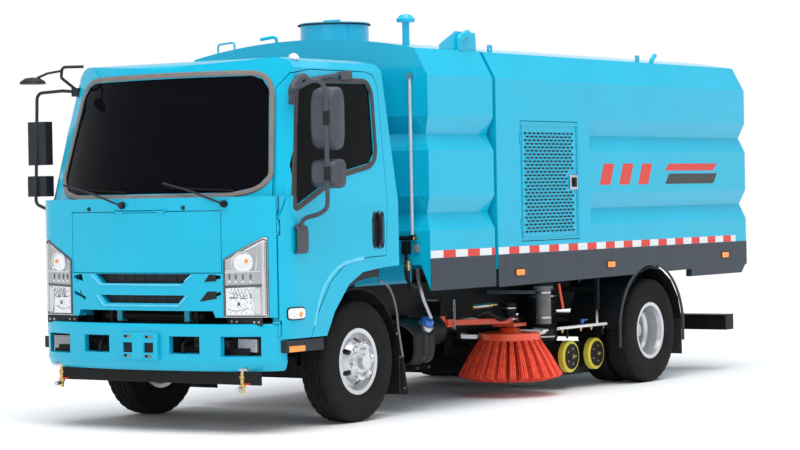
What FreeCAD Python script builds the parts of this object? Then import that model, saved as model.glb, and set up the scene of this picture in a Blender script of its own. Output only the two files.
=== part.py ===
"""Street sweeper truck: cab-over chassis, water tank, tipping hopper, side brushes, suction nozzle.

Millimetres.  +X is the truck's left, +Y its rear, +Z up.  The origin is on the ground, under the
middle of the truck.  Every driving size is a cell of the Size sheet.
"""
import FreeCAD, Part
import math
import os

import Sketcher
from FreeCAD import Placement, Rotation, Vector

doc = FreeCAD.newDocument("street_sweeper")
sheet = doc.addObject("Spreadsheet::Sheet", "Size")


# ---------------------------------------------------------------- sizes that stay tied to the sheet

class Dim:
    """A length that knows its value and how the sheet works it out."""

    def __init__(self, value, text):
        self.value = float(value)
        self.text = text

    def __add__(self, other):
        return Dim(self.value + val(other), f"({self.text} + {txt(other)})")

    def __radd__(self, other):
        return Dim(val(other) + self.value, f"({txt(other)} + {self.text})")

    def __sub__(self, other):
        return Dim(self.value - val(other), f"({self.text} - {txt(other)})")

    def __rsub__(self, other):
        return Dim(val(other) - self.value, f"({txt(other)} - {self.text})")

    def __mul__(self, other):
        return Dim(self.value * val(other), f"({self.text} * {txt(other)})")

    __rmul__ = __mul__

    def __truediv__(self, other):
        return Dim(self.value / val(other), f"({self.text} / {txt(other)})")

    def __neg__(self):
        return Dim(-self.value, f"(0 - {self.text})")

    def __float__(self):
        return self.value


def val(size):
    """The plain value of a Dim or a number."""
    return size.value if isinstance(size, Dim) else float(size)


def txt(size):
    """The expression of a Dim or a number."""
    return size.text if isinstance(size, Dim) else f"({float(size)!r})"


def size(name, value):
    """Write one driving size into the sheet and give it back as a Dim."""
    row = len(sheet_names) + 1
    sheet_names.append(name)
    sheet.set(f"A{row}", name)
    sheet.set(f"B{row}", str(value))
    sheet.setAlias(f"B{row}", name)
    return Dim(value, f"Size.{name}")


sheet_names = []


def bind(obj, prop, amount):
    """Set one property, and tie it to the sheet when it is a Dim."""
    if not prop.startswith((".", "Placement", "AttachmentOffset", "Constraints")):
        setattr(obj, prop, val(amount))
    if isinstance(amount, Dim):
        obj.setExpression(prop, amount.text)


def place(obj, x, y, z, turn=None):
    """Give an object its place, tied to the sheet, and a fixed turn."""
    obj.Placement = Placement(Vector(val(x), val(y), val(z)), turn or Rotation())
    for axis, amount in zip("xyz", (x, y, z)):
        bind(obj, f"Placement.Base.{axis}", amount)
    return obj


# ---------------------------------------------------------------- pieces and operations

ALONG = {"x": Rotation(Vector(0, 1, 0), 90), "y": Rotation(Vector(1, 0, 0), -90), "z": Rotation()}


def slab(label, x, y, z):
    """A box between two values on each axis."""
    box = doc.addObject("Part::Box", label)
    for prop, (low, high) in zip(("Length", "Width", "Height"), (x, y, z)):
        bind(box, prop, high - low)
    return place(box, x[0], y[0], z[0])


def rod(label, axis, ends, at, radius):
    """A cylinder along x, y or z between two values; `at` is its place on the other two axes."""
    bar = doc.addObject("Part::Cylinder", label)
    bind(bar, "Radius", radius)
    bind(bar, "Height", ends[1] - ends[0])
    spot = {"x": (ends[0], at[0], at[1]), "y": (at[0], ends[0], at[1]), "z": (at[0], at[1], ends[0])}
    return place(bar, *spot[axis], ALONG[axis])


def cone(label, axis, ends, at, radii):
    """A cone along x, y or z, with its two end radii."""
    taper = doc.addObject("Part::Cone", label)
    bind(taper, "Radius1", radii[0])
    bind(taper, "Radius2", radii[1])
    bind(taper, "Height", ends[1] - ends[0])
    spot = {"x": (ends[0], at[0], at[1]), "y": (at[0], ends[0], at[1]), "z": (at[0], at[1], ends[0])}
    return place(taper, *spot[axis], ALONG[axis])


def fuse(label, *pieces):
    """Join pieces into one object."""
    join = doc.addObject("Part::MultiFuse", label)
    join.Shapes = flat(pieces)
    join.Refine = True
    return join


def group(label, *pieces):
    """Keep separate solids together under one name."""
    bundle = doc.addObject("Part::Compound", label)
    bundle.Links = flat(pieces)
    return bundle


def cut(label, base, *tools):
    """Take tools away from a base."""
    tools = flat(tools)
    result = doc.addObject("Part::Cut", label)
    result.Base = base
    result.Tool = tools[0] if len(tools) == 1 else fuse(label + "_cutters", *tools)
    result.Refine = True
    return result


def common(label, *pieces):
    """What all pieces share."""
    shared = doc.addObject("Part::MultiCommon", label)
    shared.Shapes = flat(pieces)
    shared.Refine = True
    return shared


def split(label, whole, *regions):
    """What a piece has in each region, as solids that meet edge to edge."""
    return group(label, *(common(f"{label}_{number}", whole, region)
                          for number, region in enumerate(regions)))


def mirrored(label, piece):
    """The same piece on the truck's right."""
    twin = doc.addObject("Part::Mirroring", label)
    twin.Source = piece
    twin.Normal = Vector(1, 0, 0)
    return twin


def both(label, *pieces):
    """Pieces and their mirror images, kept as separate solids."""
    pieces = flat(pieces)
    return group(label, *pieces, *(mirrored(f"{label}_right", piece) for piece in pieces))


def flat(pieces):
    """A flat list from nested lists of objects."""
    out = []
    for piece in pieces:
        out.extend(flat(piece) if isinstance(piece, (list, tuple)) else [piece])
    return out


def origin_plane(body, role):
    """One of a body's own origin planes."""
    return next(item for item in body.Origin.OriginFeatures if item.Role == role)


def root(amount):
    """The square root of a size."""
    return Dim(math.sqrt(val(amount)), f"sqrt({txt(amount)})")


def outline(body, plane, points, offset):
    """A closed, fully placed sketch.  A point is (u, v) or (u, v, radius, side): then an arc of that
    radius leads on to the next point, bulging to its left (side 1) or right (side -1)."""
    sketch = body.newObject("Sketcher::SketchObject", body.Label + "_outline")
    sketch.AttachmentSupport = [(origin_plane(body, plane), "")]
    sketch.MapMode = "FlatFace"
    bind(sketch, "AttachmentOffset.Base.z", offset)
    if not isinstance(offset, Dim):
        sketch.AttachmentOffset = Placement(Vector(0, 0, offset), Rotation())
    count = len(points)
    spots = [Vector(val(point[0]), val(point[1]), 0) for point in points]
    starts = []
    for index, point in enumerate(points):
        begin, end = spots[index], spots[(index + 1) % count]
        if len(point) == 2:
            sketch.addGeometry(Part.LineSegment(begin, end), False)
            starts.append((1, 2))
            continue
        radius, side = val(point[2]), point[3]
        half = (end - begin).Length / 2
        across = Vector(-(end - begin).y, (end - begin).x, 0).normalize() * side
        sag = radius - math.sqrt(radius * radius - half * half)
        arc = Part.Arc(begin, (begin + end) / 2 + across * sag, end)
        sketch.addGeometry(arc, False)
        starts.append((2, 1) if side > 0 else (1, 2))
    for index in range(count):
        following = (index + 1) % count
        sketch.addConstraint(Sketcher.Constraint(
            "Coincident", index, starts[index][1], following, starts[following][0]))
    for index, point in enumerate(points):
        for kind, amount in zip(("DistanceX", "DistanceY"), point[:2]):
            number = sketch.addConstraint(
                Sketcher.Constraint(kind, -1, 1, index, starts[index][0], val(amount)))
            bind(sketch, f"Constraints[{number}]", amount)
        if len(point) == 4:
            number = sketch.addConstraint(Sketcher.Constraint("Radius", index, val(point[2])))
            bind(sketch, f"Constraints[{number}]", point[2])
    return sketch


def pad(label, plane, points, ends):
    """A straight extrusion of an outline: "xz" runs along y, "yz" along x, "xy" along z."""
    body = doc.addObject("PartDesign::Body", label)
    body.Label = label
    offset = -ends[1] if plane == "xz" else ends[0]
    sketch = outline(body, plane.upper() + "_Plane", points, offset)
    feature = body.newObject("PartDesign::Pad", label + "_pad")
    feature.Profile = sketch
    bind(feature, "Length", ends[1] - ends[0])
    return body


def turned(label, axis, points, at):
    """A solid of revolution.  Points are (along the axis, radius); `at` is the place of the axis zero."""
    body = doc.addObject("PartDesign::Body", label)
    body.Label = label
    flip = axis == "z"
    spots = [(point[1], point[0]) + tuple(point[2:]) if flip else point for point in points]
    sketch = outline(body, "YZ_Plane" if axis == "y" else "XZ_Plane", spots, 0)
    feature = body.newObject("PartDesign::Revolution", label + "_turn")
    feature.Profile = sketch
    feature.ReferenceAxis = (sketch, ["V_Axis" if flip else "H_Axis"])
    feature.Angle = 360
    return place(body, *at)


def pipe(label, points, radius, bend):
    """A round bar along straight runs with tangent arcs of one bend radius."""
    spots = [Vector(*(val(amount) for amount in point)) for point in points]
    edges = []
    start = spots[0]
    for before, corner, after in zip(spots, spots[1:], spots[2:]):
        inward = (before - corner).normalize()
        outward = (after - corner).normalize()
        turn = math.pi - inward.getAngle(outward)
        reach = val(bend) * math.tan(turn / 2)
        first = corner + inward * reach
        last = corner + outward * reach
        middle = (inward + outward).normalize()
        centre_way = val(bend) / math.cos(turn / 2) - val(bend)
        edges.append(Part.LineSegment(start, first).toShape())
        edges.append(Part.Arc(first, corner + middle * centre_way, last).toShape())
        start = last
    edges.append(Part.LineSegment(start, spots[-1]).toShape())
    wire = Part.Wire(edges)
    ring = Part.Wire([Part.Circle(spots[0], spots[1] - spots[0], val(radius)).toShape()])
    bar = doc.addObject("Part::Feature", label)
    bar.Shape = wire.makePipeShell([ring], True, False)
    return bar


nodes = []


def node(piece, label):
    """Name a finished piece; its label names its file."""
    piece.Label = label
    nodes.append(piece)
    return piece


# ---------------------------------------------------------------- driving sizes

GAP = size("moving_gap", 6)
SEAM = size("seam_gap", 5)

WHEEL_BASE = size("wheel_base", 3815)
FRONT_AXLE = size("front_axle_place", -2160)
REAR_AXLE = FRONT_AXLE + WHEEL_BASE
TYRE_RADIUS = size("tyre_radius", 402.5)
TYRE_WIDTH = size("tyre_width", 215)
RIM_RADIUS = size("rim_lip_radius", 230)
RIM_SEAT = size("rim_seat_radius", 206)
FRONT_TRACK = size("front_track", 1680)
REAR_TRACK = size("rear_track", 1650)
DUAL_SPACING = size("dual_spacing", 245)
KING_PIN = size("king_pin_place", 700)

RAIL_HALF = size("rail_outer_half_width", 375)
RAIL_TOP = size("rail_top", 770)
RAIL_DEEP = size("rail_height", 200)
RAIL_FLANGE = size("rail_flange", 65)
RAIL_WALL = size("rail_wall", 7)
FRAME_FRONT = size("frame_front", -3120)
FRAME_REAR = size("frame_rear", 3180)
SUBFRAME_TOP = size("subframe_top", 862)

BODY_HALF = size("body_half_width", 1060)
GROOVE = size("groove_depth", 60)
ROOF_EDGE = size("roof_edge_height", 2500)
ROOF_HALF = size("roof_half_width", 955)
ROOF_RISE = size("roof_rise", 95)
SHOULDER = size("shoulder_height", 2310)
RIDGE_ONE_LOW = size("ridge_one_low", 2035)
GROOVE_ONE = size("groove_one_height", 1915)
RIDGE_TWO_HIGH = size("ridge_two_high", 1800)
RIDGE_TWO_LOW = size("ridge_two_low", 1485)
GROOVE_TWO = size("groove_two_height", 1370)
RIDGE_THREE_HIGH = size("ridge_three_high", 1250)
SKIRT_TOP = size("skirt_top", 1060)
SKIRT_BOTTOM = size("skirt_bottom", 840)
SKIRT_PLATE = size("skirt_plate", 4)

TANK_FRONT = size("tank_front", -1470)
TANK_REAR = size("tank_rear", -640)
TANK_FLOOR = size("tank_floor_height", 1017)
MANHOLE_PLACE = size("manhole_place", -1060)
MANHOLE_RADIUS = size("manhole_radius", 245)
MANHOLE_TOP = size("manhole_top", 2735)

HOPPER_FRONT = size("hopper_front", -600)
HOPPER_REAR = size("hopper_rear", 3300)
HOPPER_GROOVES = size("hopper_groove_start", 717)
HOPPER_WALL = size("hopper_wall", 6)
HOPPER_FLOOR = size("hopper_floor_height", 960)
BULKHEAD = size("bulkhead_place", 640)
TIP_PLACE = size("tip_pivot_place", 2980)
TIP_HEIGHT = size("tip_pivot_height", 900)
FRAME_SINK = size("rear_frame_depth", 78)
DOOR_FRAME = HOPPER_REAR - FRAME_SINK
TAILGATE_LEAF = size("tailgate_thickness", 46)
TAILGATE_HALF = size("tailgate_half_width", 960)
TAILGATE_TOP = size("tailgate_top", 2390)
TAILGATE_HINGE = size("tailgate_hinge_height", 2440)
TAILGATE_PIN = DOOR_FRAME + 28
SERVICE_FRONT = size("service_door_front", -272)
SERVICE_REAR = size("service_door_rear", 542)
SERVICE_LOW = size("service_door_low", 1150)
SERVICE_HIGH = size("service_door_high", 2010)
SERVICE_LEAF = size("service_door_thickness", 16)

CAB_HALF = size("cab_half_width", 1020)
CAB_NOSE = size("cab_nose", -3262)
CAB_BACK = size("cab_back", -1790)
CAB_BOW = size("cab_bow_radius", 3504)
CAB_CORNER = size("cab_corner_radius", 230)
GLASS_BOW = size("windscreen_bow_radius", 1900)
GLASS_CORNER = size("windscreen_corner_radius", 130)
CAB_WALL = size("cab_wall", 42)
PANE = size("glass_thickness", 6)
PANE_SINK = size("glass_sink", 8)
BELT = size("belt_height", 1505)
SCREEN_FOOT = size("windscreen_foot", -3246)
SCREEN_RAKE = size("windscreen_rake", 258)
SCREEN_RISE = size("windscreen_rise", 873)
CAB_ROOF = size("cab_roof_height", 2400)
APRON_LOW = size("apron_bottom", 740)
SILL_LOW = size("sill_bottom", 600)
CAB_FLOOR = size("cab_floor_height", 900)
SEAT_FLOOR = size("seat_floor_height", 1085)
TILT_PLACE = size("tilt_pivot_place", -3110)
TILT_HEIGHT = size("tilt_pivot_height", 740)
DOOR_FRONT = size("door_front", -3072)
DOOR_BACK = size("door_back", -1945)
DOOR_PIN_X = size("door_pin_side", 967)
DOOR_PIN = DOOR_FRONT + 4
DOOR_HINGES = (640, 1280)
ARCH = [(FRONT_AXLE - 469, SILL_LOW), (FRONT_AXLE - 379, 751), (FRONT_AXLE - 217, 918),
        (FRONT_AXLE - 55, 995), (FRONT_AXLE + 167, 1017)]
LAMP_IN = size("headlamp_inner_side", 636)
LAMP_OUT = size("headlamp_outer_side", 925)
LAMP_HIGH = size("headlamp_outer_height", 1246)
LAMP_MID = size("headlamp_inner_height", 1108)
LID_HALF = size("front_lid_half_width", 620)
LID_LOW = size("front_lid_low", 1026)
LID_HIGH = size("front_lid_high", 1416)

BUMPER_LOW = size("bumper_bottom", 400)
BUMPER_HIGH = size("bumper_top", 700)
BUMPER_NOSE = size("bumper_nose", -3300)
BUMPER_HALF = size("bumper_half_width", 1030)
BUMPER_SKIN = size("bumper_skin", 10)

BRUSH_SIDE = size("brush_side_place", 700)
BRUSH_PLACE = size("brush_place", 116)
BRUSH_RADIUS = size("brush_radius", 360)
BRUSH_LOW = size("brush_tip_height", 105)
BRUSH_DISC = size("brush_disc_radius", 190)
BRUSH_TOP = size("brush_disc_top", 490)
BRUSH_PIVOT_SIDE = size("brush_pivot_side", 450)
BRUSH_PIVOT = size("brush_pivot_place", -440)
LIFT_PIVOT = size("brush_lift_pivot_place", -350)
TUFT_ROOT = size("tuft_root_height", 455)
TUFTS = 16

NOZZLE_SIDE = size("nozzle_wheel_side", 860)
NOZZLE_FRONT = size("nozzle_front_wheel_place", 692)
NOZZLE_REAR = size("nozzle_rear_wheel_place", 1073)
NOZZLE_WHEEL = size("nozzle_wheel_radius", 120)
NOZZLE_AXLE = size("nozzle_axle_height", 255)
HOSE_X = size("suction_hose_side", 560)
HOSE_PLACE = size("suction_hose_place", 790)
NOZZLE_HALF = size("nozzle_half_width", 790)
NOZZLE_HINGE_PLACE = size("nozzle_hinge_place", -60)
NOZZLE_HINGE_HEIGHT = size("nozzle_hinge_height", 430)

RAM_FOOT = size("ram_foot_place", 2550)
RAM_LOW = size("ram_foot_height", 420)
RAM_HEAD = size("ram_head_place", 2450)
RAM_HIGH = size("ram_head_height", 905)

PIN_PLAY = size("pin_play", 0.06)
SPINDLE = size("spindle_radius", 30)


# ---------------------------------------------------------------- wheels

def tyre(label, centre):
    """A road tyre: tread, rounded shoulders, sidewalls down to the bead."""
    half = TYRE_WIDTH / 2
    right = [
        (half * 0.3, TYRE_RADIUS), (half * 0.78, TYRE_RADIUS - 6), (half * 0.93, TYRE_RADIUS - 32),
        (half, TYRE_RADIUS - 110), (half * 0.74, RIM_RADIUS + 3), (half * 0.74, RIM_SEAT),
    ]
    left = [(-u, v) for u, v in reversed(right)]
    return turned(label, "x", left + right, centre)


def rim_outline(middle, disc):
    """A rim's outline: lips and barrel round `middle`, closed by the disc's own points."""
    half = TYRE_WIDTH / 2
    return [
        (middle - half * 0.82, RIM_SEAT - 14), (middle - half * 0.86, RIM_RADIUS),
        (middle - half * 0.76, RIM_RADIUS), (middle - half * 0.74, RIM_SEAT),
        (middle + half * 0.74, RIM_SEAT), (middle + half * 0.76, RIM_RADIUS),
        (middle + half * 0.86, RIM_RADIUS), (middle + half * 0.82, RIM_SEAT - 14),
    ] + disc


def ring_of(label, make, count, radius, centre, first=0.0):
    """Copies made round an X axis; `make` gets a label and a (y, z) place."""
    out = []
    for number in range(count):
        angle = math.radians(first + 360 / count * number)
        spot = (centre[1] + radius * math.cos(angle), centre[2] + radius * math.sin(angle))
        out.append(make(f"{label}_{number}", spot))
    return out


def front_wheel(side, name):
    """Tyre and steel disc wheel with hand holes, wheel nuts, hub and drum."""
    half = TYRE_WIDTH / 2
    centre = (FRONT_TRACK / 2, FRONT_AXLE, TYRE_RADIUS)
    disc = turned(f"front_disc_{name}", "x", rim_outline(0, [
        (half * 0.45, RIM_SEAT - 24), (half * 0.62, RIM_SEAT - 56), (half * 0.98, RIM_SEAT - 78),
        (half * 0.98, 70), (half * 0.88, 70), (half * 0.88, RIM_SEAT - 84), (half * 0.5, RIM_SEAT - 64),
        (half * 0.32, RIM_SEAT - 34), (-half * 0.6, RIM_SEAT - 24),
    ]), centre)
    hub = turned(f"front_hub_{name}", "x", [
        (-62, SPINDLE + PIN_PLAY), (-62, 150), (-8, 150), (-8, 100), (half * 0.9, 96),
        (half * 1.1, 78), (half * 1.14, 54), (half * 1.46, 48), (half * 1.46, 0), (42, 0),
        (42, SPINDLE + PIN_PLAY),
    ], centre)
    holes = ring_of(f"hand_hole_{name}", lambda label, spot: rod(
        label, "x", (centre[0], centre[0] + half * 1.2), spot, 20), 6, 138, centre_value(centre), 30)
    nuts = ring_of(f"wheel_nut_{name}", lambda label, spot: rod(
        label, "x", (centre[0] + half * 0.9, centre[0] + half * 1.22), spot, 15), 6, 106,
        centre_value(centre))
    rim = fuse(f"front_rim_{name}_whole", cut(f"front_disc_{name}_drilled", disc, holes), hub, nuts)
    pieces = {"tyre": tyre(f"front_tyre_{name}_form", centre), "rim": rim}
    for what, piece in pieces.items():
        done = piece if side > 0 else mirrored(f"front_{what}_{name}_twin", piece)
        node(done, f"front_{what}_{name}")


def centre_value(centre):
    """A centre's plain values."""
    return tuple(val(amount) for amount in centre)


def rear_wheels(side, name):
    """A dual wheel: two tyres and two dished rims back to back on one hub with its drum."""
    half = TYRE_WIDTH / 2
    step = DUAL_SPACING / 2
    centre = (REAR_TRACK / 2, REAR_AXLE, TYRE_RADIUS)
    bowl = rim_outline(step, [
        (step + half * 0.5, RIM_SEAT - 24), (step - half * 0.3, RIM_SEAT - 26),
        (step - half * 0.5, RIM_SEAT - 46), (14, 150), (14, 80), (0, 80), (0, 158),
        (step - half * 0.62, RIM_SEAT - 24),
    ])
    outer = turned(f"rear_outer_rim_{name}", "x", bowl, centre)
    inner = turned(f"rear_inner_rim_{name}", "x", [(-u, v) for u, v in bowl], centre)
    hub = turned(f"rear_hub_{name}", "x", [
        (-180, SPINDLE + PIN_PLAY + 8), (-180, 160), (-40, 160), (-40, 100), (-8, 100), (-8, 130),
        (26, 126), (26, 84), (60, 76), (64, 60), (104, 52), (104, 0), (-4, 0),
        (-4, SPINDLE + PIN_PLAY + 8),
    ], centre)
    nuts = ring_of(f"rear_nut_{name}", lambda label, spot: rod(
        label, "x", (centre[0], centre[0] + 44), spot, 15), 6, 106, centre_value(centre))
    rims = fuse(f"rear_rims_{name}_whole", outer, inner, hub, nuts)
    spots = [(centre[0] + step * way, centre[1], centre[2]) for way in (-1, 1)]
    tyres = group(f"rear_tyres_{name}_pair",
                  [tyre(f"rear_tyre_{name}_{number}", spot) for number, spot in enumerate(spots)])
    for what, piece in {"tyres": tyres, "rims": rims}.items():
        done = piece if side > 0 else mirrored(f"rear_{what}_{name}_twin", piece)
        node(done, f"rear_{what}_{name}")


def steering(side, name):
    """A steering knuckle on its king pin, with its spindle and its track arm."""
    axle = FRONT_TRACK / 2
    pin = rod(f"king_pin_{name}", "z", (TYRE_RADIUS - 105, TYRE_RADIUS + 105), (KING_PIN, FRONT_AXLE), 18)
    caps = [slab(f"knuckle_ear_{name}_{end}", (KING_PIN - 28, KING_PIN + 58),
                 (FRONT_AXLE - 32, FRONT_AXLE + 32), (TYRE_RADIUS + low, TYRE_RADIUS + low + 30))
            for end, low in (("low", -103), ("high", 73))]
    web = slab(f"knuckle_web_{name}", (KING_PIN + 40, KING_PIN + 66), (FRONT_AXLE - 32, FRONT_AXLE + 32),
               (TYRE_RADIUS - 103, TYRE_RADIUS + 103))
    spindle = rod(f"spindle_{name}", "x", (KING_PIN + 60, axle + 38), (FRONT_AXLE, TYRE_RADIUS), SPINDLE)
    arm = slab(f"track_arm_{name}", (KING_PIN - 16, KING_PIN + 16), (FRONT_AXLE, FRONT_AXLE + 190),
               (TYRE_RADIUS - 103, TYRE_RADIUS - 79))
    ball = rod(f"track_ball_{name}", "z", (TYRE_RADIUS - 140, TYRE_RADIUS - 79),
               (KING_PIN, FRONT_AXLE + 175), 12)
    whole = fuse(f"knuckle_{name}_whole", pin, caps, web, spindle, arm, ball)
    node(whole if side > 0 else mirrored(f"knuckle_{name}_twin", whole), f"knuckle_{name}")


def tie_rod():
    """The bar that joins both track arms, with an eye round each ball."""
    place_y = FRONT_AXLE + 175
    reach = KING_PIN
    bar = rod("tie_bar", "x", (-reach + 20, reach - 20), (place_y, TYRE_RADIUS - 125), 14)
    eyes = [rod(f"tie_eye_{number}", "z", (TYRE_RADIUS - 142, TYRE_RADIUS - 108), (x, place_y), 26)
            for number, x in enumerate((-reach, reach))]
    bores = [rod(f"tie_bore_{number}", "z", (TYRE_RADIUS - 150, TYRE_RADIUS - 100), (x, place_y),
                 12 + PIN_PLAY) for number, x in enumerate((-reach, reach))]
    node(cut("tie_rod_whole", fuse("tie_rod_bar", bar, eyes), bores), "tie_rod")


for way, word in ((1, "left"), (-1, "right")):
    front_wheel(way, word)
    rear_wheels(way, word)
    steering(way, word)
tie_rod()


# ---------------------------------------------------------------- chassis

def rails():
    """Two channel rails, their cross members and the body's subframe on top."""
    low = RAIL_TOP - RAIL_DEEP
    inner = RAIL_HALF - RAIL_FLANGE
    web = RAIL_HALF - RAIL_WALL
    channel = pad("rail_left", "xz", [
        (RAIL_HALF, low), (RAIL_HALF, RAIL_TOP), (inner, RAIL_TOP), (inner, RAIL_TOP - RAIL_WALL),
        (web, RAIL_TOP - RAIL_WALL), (web, low + RAIL_WALL), (inner, low + RAIL_WALL), (inner, low),
    ], (FRAME_FRONT, FRAME_REAR))
    members = []
    for number, spot in enumerate((-3040, -1220, -405, 700, 1080, 2060, 3120)):
        members.append(slab(f"cross_member_{number}", (-web, web), (spot, spot + 60),
                            (low + RAIL_WALL + 30, RAIL_TOP - RAIL_WALL - 30)))
    beam = slab("subframe_beam", (inner, RAIL_HALF), (TANK_FRONT + 40, TIP_PLACE + 60),
                (RAIL_TOP, SUBFRAME_TOP))
    ties = [slab(f"subframe_tie_{number}", (-inner, inner), (TANK_FRONT + spot, TANK_FRONT + spot + 50),
                 (SUBFRAME_TOP - 60, SUBFRAME_TOP - 10)) for number, spot in enumerate((60, 760, 4350))]
    pivot = rod("tip_pin", "x", (-RAIL_HALF + 5, RAIL_HALF - 5), (TIP_PLACE, TIP_HEIGHT), 22)
    lugs = [slab(f"tip_lug_{number}", (x, x + 30), (TIP_PLACE - 34, TIP_PLACE + 34),
                 (SUBFRAME_TOP, TIP_HEIGHT + 34)) for number, x in enumerate((inner, -inner - 30))]
    tilt = rod("tilt_tube", "x", (-RAIL_HALF - 40, RAIL_HALF + 40), (TILT_PLACE, TILT_HEIGHT), 24)
    horns = [slab(f"tilt_horn_{number}", (x, x + 24), (TILT_PLACE - 30, TILT_PLACE + 60),
                  (TILT_HEIGHT - 90, TILT_HEIGHT + 34)) for number, x in
             enumerate((RAIL_HALF - 30, -RAIL_HALF + 6))]
    behind = (RAM_FOOT + 95, RAM_FOOT + 145)
    ram_tie = [slab("ram_tie", (-web, web), behind, (low + 40, low + 100)),
               slab("ram_hanger", (-50, 50), behind, (RAM_LOW - 40, low + 100))]
    ram_ears = [slab(f"ram_foot_ear_{number}", (x, x + 20), (RAM_FOOT - 36, RAM_FOOT + 145),
                     (RAM_LOW - 40, RAM_LOW + 16)) for number, x in enumerate((-50, 30))]
    ram_pin = rod("ram_foot_pin", "x", (-50, 50), (RAM_FOOT, RAM_LOW), 18)
    pull_bar = [rod(f"pull_pin_{number}", "x", x, (NOZZLE_HINGE_PLACE, NOZZLE_HINGE_HEIGHT), 14)
                for number, x in enumerate(((235, web), (-web, -235)))]
    pull_posts = [slab(f"pull_post_{number}", (x, x + 12), (NOZZLE_HINGE_PLACE - 25, NOZZLE_HINGE_PLACE + 25),
                       (NOZZLE_HINGE_HEIGHT - 20, low + 20)) for number, x in enumerate((web - 12, -web))]
    whole = fuse("frame_whole", channel, mirrored("rail_right", channel), members, beam,
                 mirrored("subframe_beam_right", beam), ties, pivot, lugs, tilt, horns, ram_tie, ram_ears,
                 ram_pin, pull_bar, pull_posts)
    length, height = (FRAME_FRONT - 100, FRAME_REAR + 100), (0, TIP_HEIGHT + 100)
    foot = slab("ram_foot_part", (-60, 60), (RAM_FOOT - 40, RAM_FOOT + 150), (0, RAM_LOW + 20))
    node(split("frame_welded", whole,
               slab("left_rail_part", (inner, RAIL_HALF + 100), length, height), foot,
               cut("between_rails", slab("between_rails_box", (-inner, inner), length, height), foot),
               slab("right_rail_part", (-RAIL_HALF - 100, -inner), length, height)), "chassis_frame")


rails()


def axles():
    """The dropped front beam with its king-pin eyes, and the rear casing with its spindles."""
    z = TYRE_RADIUS
    beam = slab("front_beam", (-KING_PIN + 48, KING_PIN - 48), (FRONT_AXLE - 35, FRONT_AXLE + 35),
                (z - 110, z - 30))
    ends = [slab(f"front_beam_end_{number}", x, (FRONT_AXLE - 30, FRONT_AXLE + 30), (z - 66, z + 66))
            for number, x in enumerate(((KING_PIN - 74, KING_PIN + 18), (-KING_PIN - 18, -KING_PIN + 74)))]
    bores = [rod(f"king_bore_{number}", "z", (z - 90, z + 90), (x, FRONT_AXLE), 18 + PIN_PLAY)
             for number, x in enumerate((KING_PIN, -KING_PIN))]
    pads = [slab(f"front_spring_pad_{number}", (x - 40, x + 40), (FRONT_AXLE - 60, FRONT_AXLE + 60),
                 (z - 34, z + 20)) for number, x in enumerate((RAIL_HALF + 55, -RAIL_HALF - 55))]
    node(cut("front_axle_whole", fuse("front_axle_solid", beam, ends, pads), bores), "front_axle")
    casing = rod("rear_casing", "x", (-REAR_TRACK / 2 + 190, REAR_TRACK / 2 - 190), (REAR_AXLE, z), 62)
    spindles = rod("rear_spindles", "x", (-REAR_TRACK / 2 + 10, REAR_TRACK / 2 - 10), (REAR_AXLE, z),
                   SPINDLE + 8)
    bowl = turned("differential", "y", [
        (-150, 0), (-150, 70), (-110, 140), (-60, 178), (60, 178), (120, 120), (170, 60), (170, 0),
    ], (0, REAR_AXLE, z))
    seats = [slab(f"rear_spring_seat_{number}", (x - 40, x + 40), (REAR_AXLE - 70, REAR_AXLE + 70),
                  (z - 40, z + 75)) for number, x in enumerate((RAIL_HALF + 55, -RAIL_HALF - 55))]
    node(fuse("rear_axle_whole", casing, spindles, bowl, seats), "rear_axle")


def spring_pack(label, middle, half, seat, eye):
    """A pack of leaves that bows down to the axle, with its end hangers on the rail."""
    low, high = seat, seat + 46
    leaves = pad(label + "_leaves", "yz", [
        (middle - half, eye - 9), (middle - half * 0.5, (low + eye) / 2 - 14), (middle - 90, low),
        (middle + 90, low), (middle + half * 0.5, (low + eye) / 2 - 14), (middle + half, eye - 9),
        (middle + half, eye + 9), (middle + half * 0.5, (high + eye) / 2), (middle + 90, high),
        (middle - 90, high), (middle - half * 0.5, (high + eye) / 2), (middle - half, eye + 9),
    ], (RAIL_HALF + 20, RAIL_HALF + 90))
    hangers = [slab(f"{label}_hanger_{number}", (RAIL_HALF, RAIL_HALF + 94), (y - 26, y + 26),
                    (eye - 26, RAIL_TOP - RAIL_DEEP + 60))
               for number, y in enumerate((middle - half + 10, middle + half - 10))]
    return fuse(label + "_pack", leaves, hangers)


def springs():
    """All four leaf springs."""
    front = spring_pack("front_spring", FRONT_AXLE, 620, TYRE_RADIUS + 20, TYRE_RADIUS + 150)
    rear = spring_pack("rear_spring", REAR_AXLE, 640, TYRE_RADIUS + 75, TYRE_RADIUS + 160)
    node(both("leaf_springs_all", front, rear), "leaf_springs")


def engine():
    """The engine as one plain block, and the gearbox, shaft and final drive flange behind it."""
    web = RAIL_HALF - RAIL_WALL
    block = slab("engine_form", (-300, 300), (-2560, -1860), (590, 850))
    sump = slab("engine_sump", (-180, 180), (-2500, -1960), (470, 590))
    mounts = [slab(f"engine_mount_{number}", x, (-2300, -2240), (620, 700))
              for number, x in enumerate(((300, web), (-web, -300)))]
    node(fuse("engine_whole", block, sump, mounts), "engine_block")
    box = cone("gearbox", "y", (-1860, -1300), (0, 640), (190, 110))
    shaft = rod("propshaft", "y", (-1300, REAR_AXLE - 155), (0, 480), 42)
    joint = rod("shaft_hanger", "y", (-420, -330), (0, 480), 75)
    hanger = slab("hanger_arm", (-60, 60), (-400, -350), (480, RAIL_TOP - RAIL_DEEP + 37))
    drop = slab("gearbox_tail", (-70, 70), (-1360, -1270), (440, 660))
    node(fuse("driveline_whole", box, shaft, joint, hanger, drop), "driveline")


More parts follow.
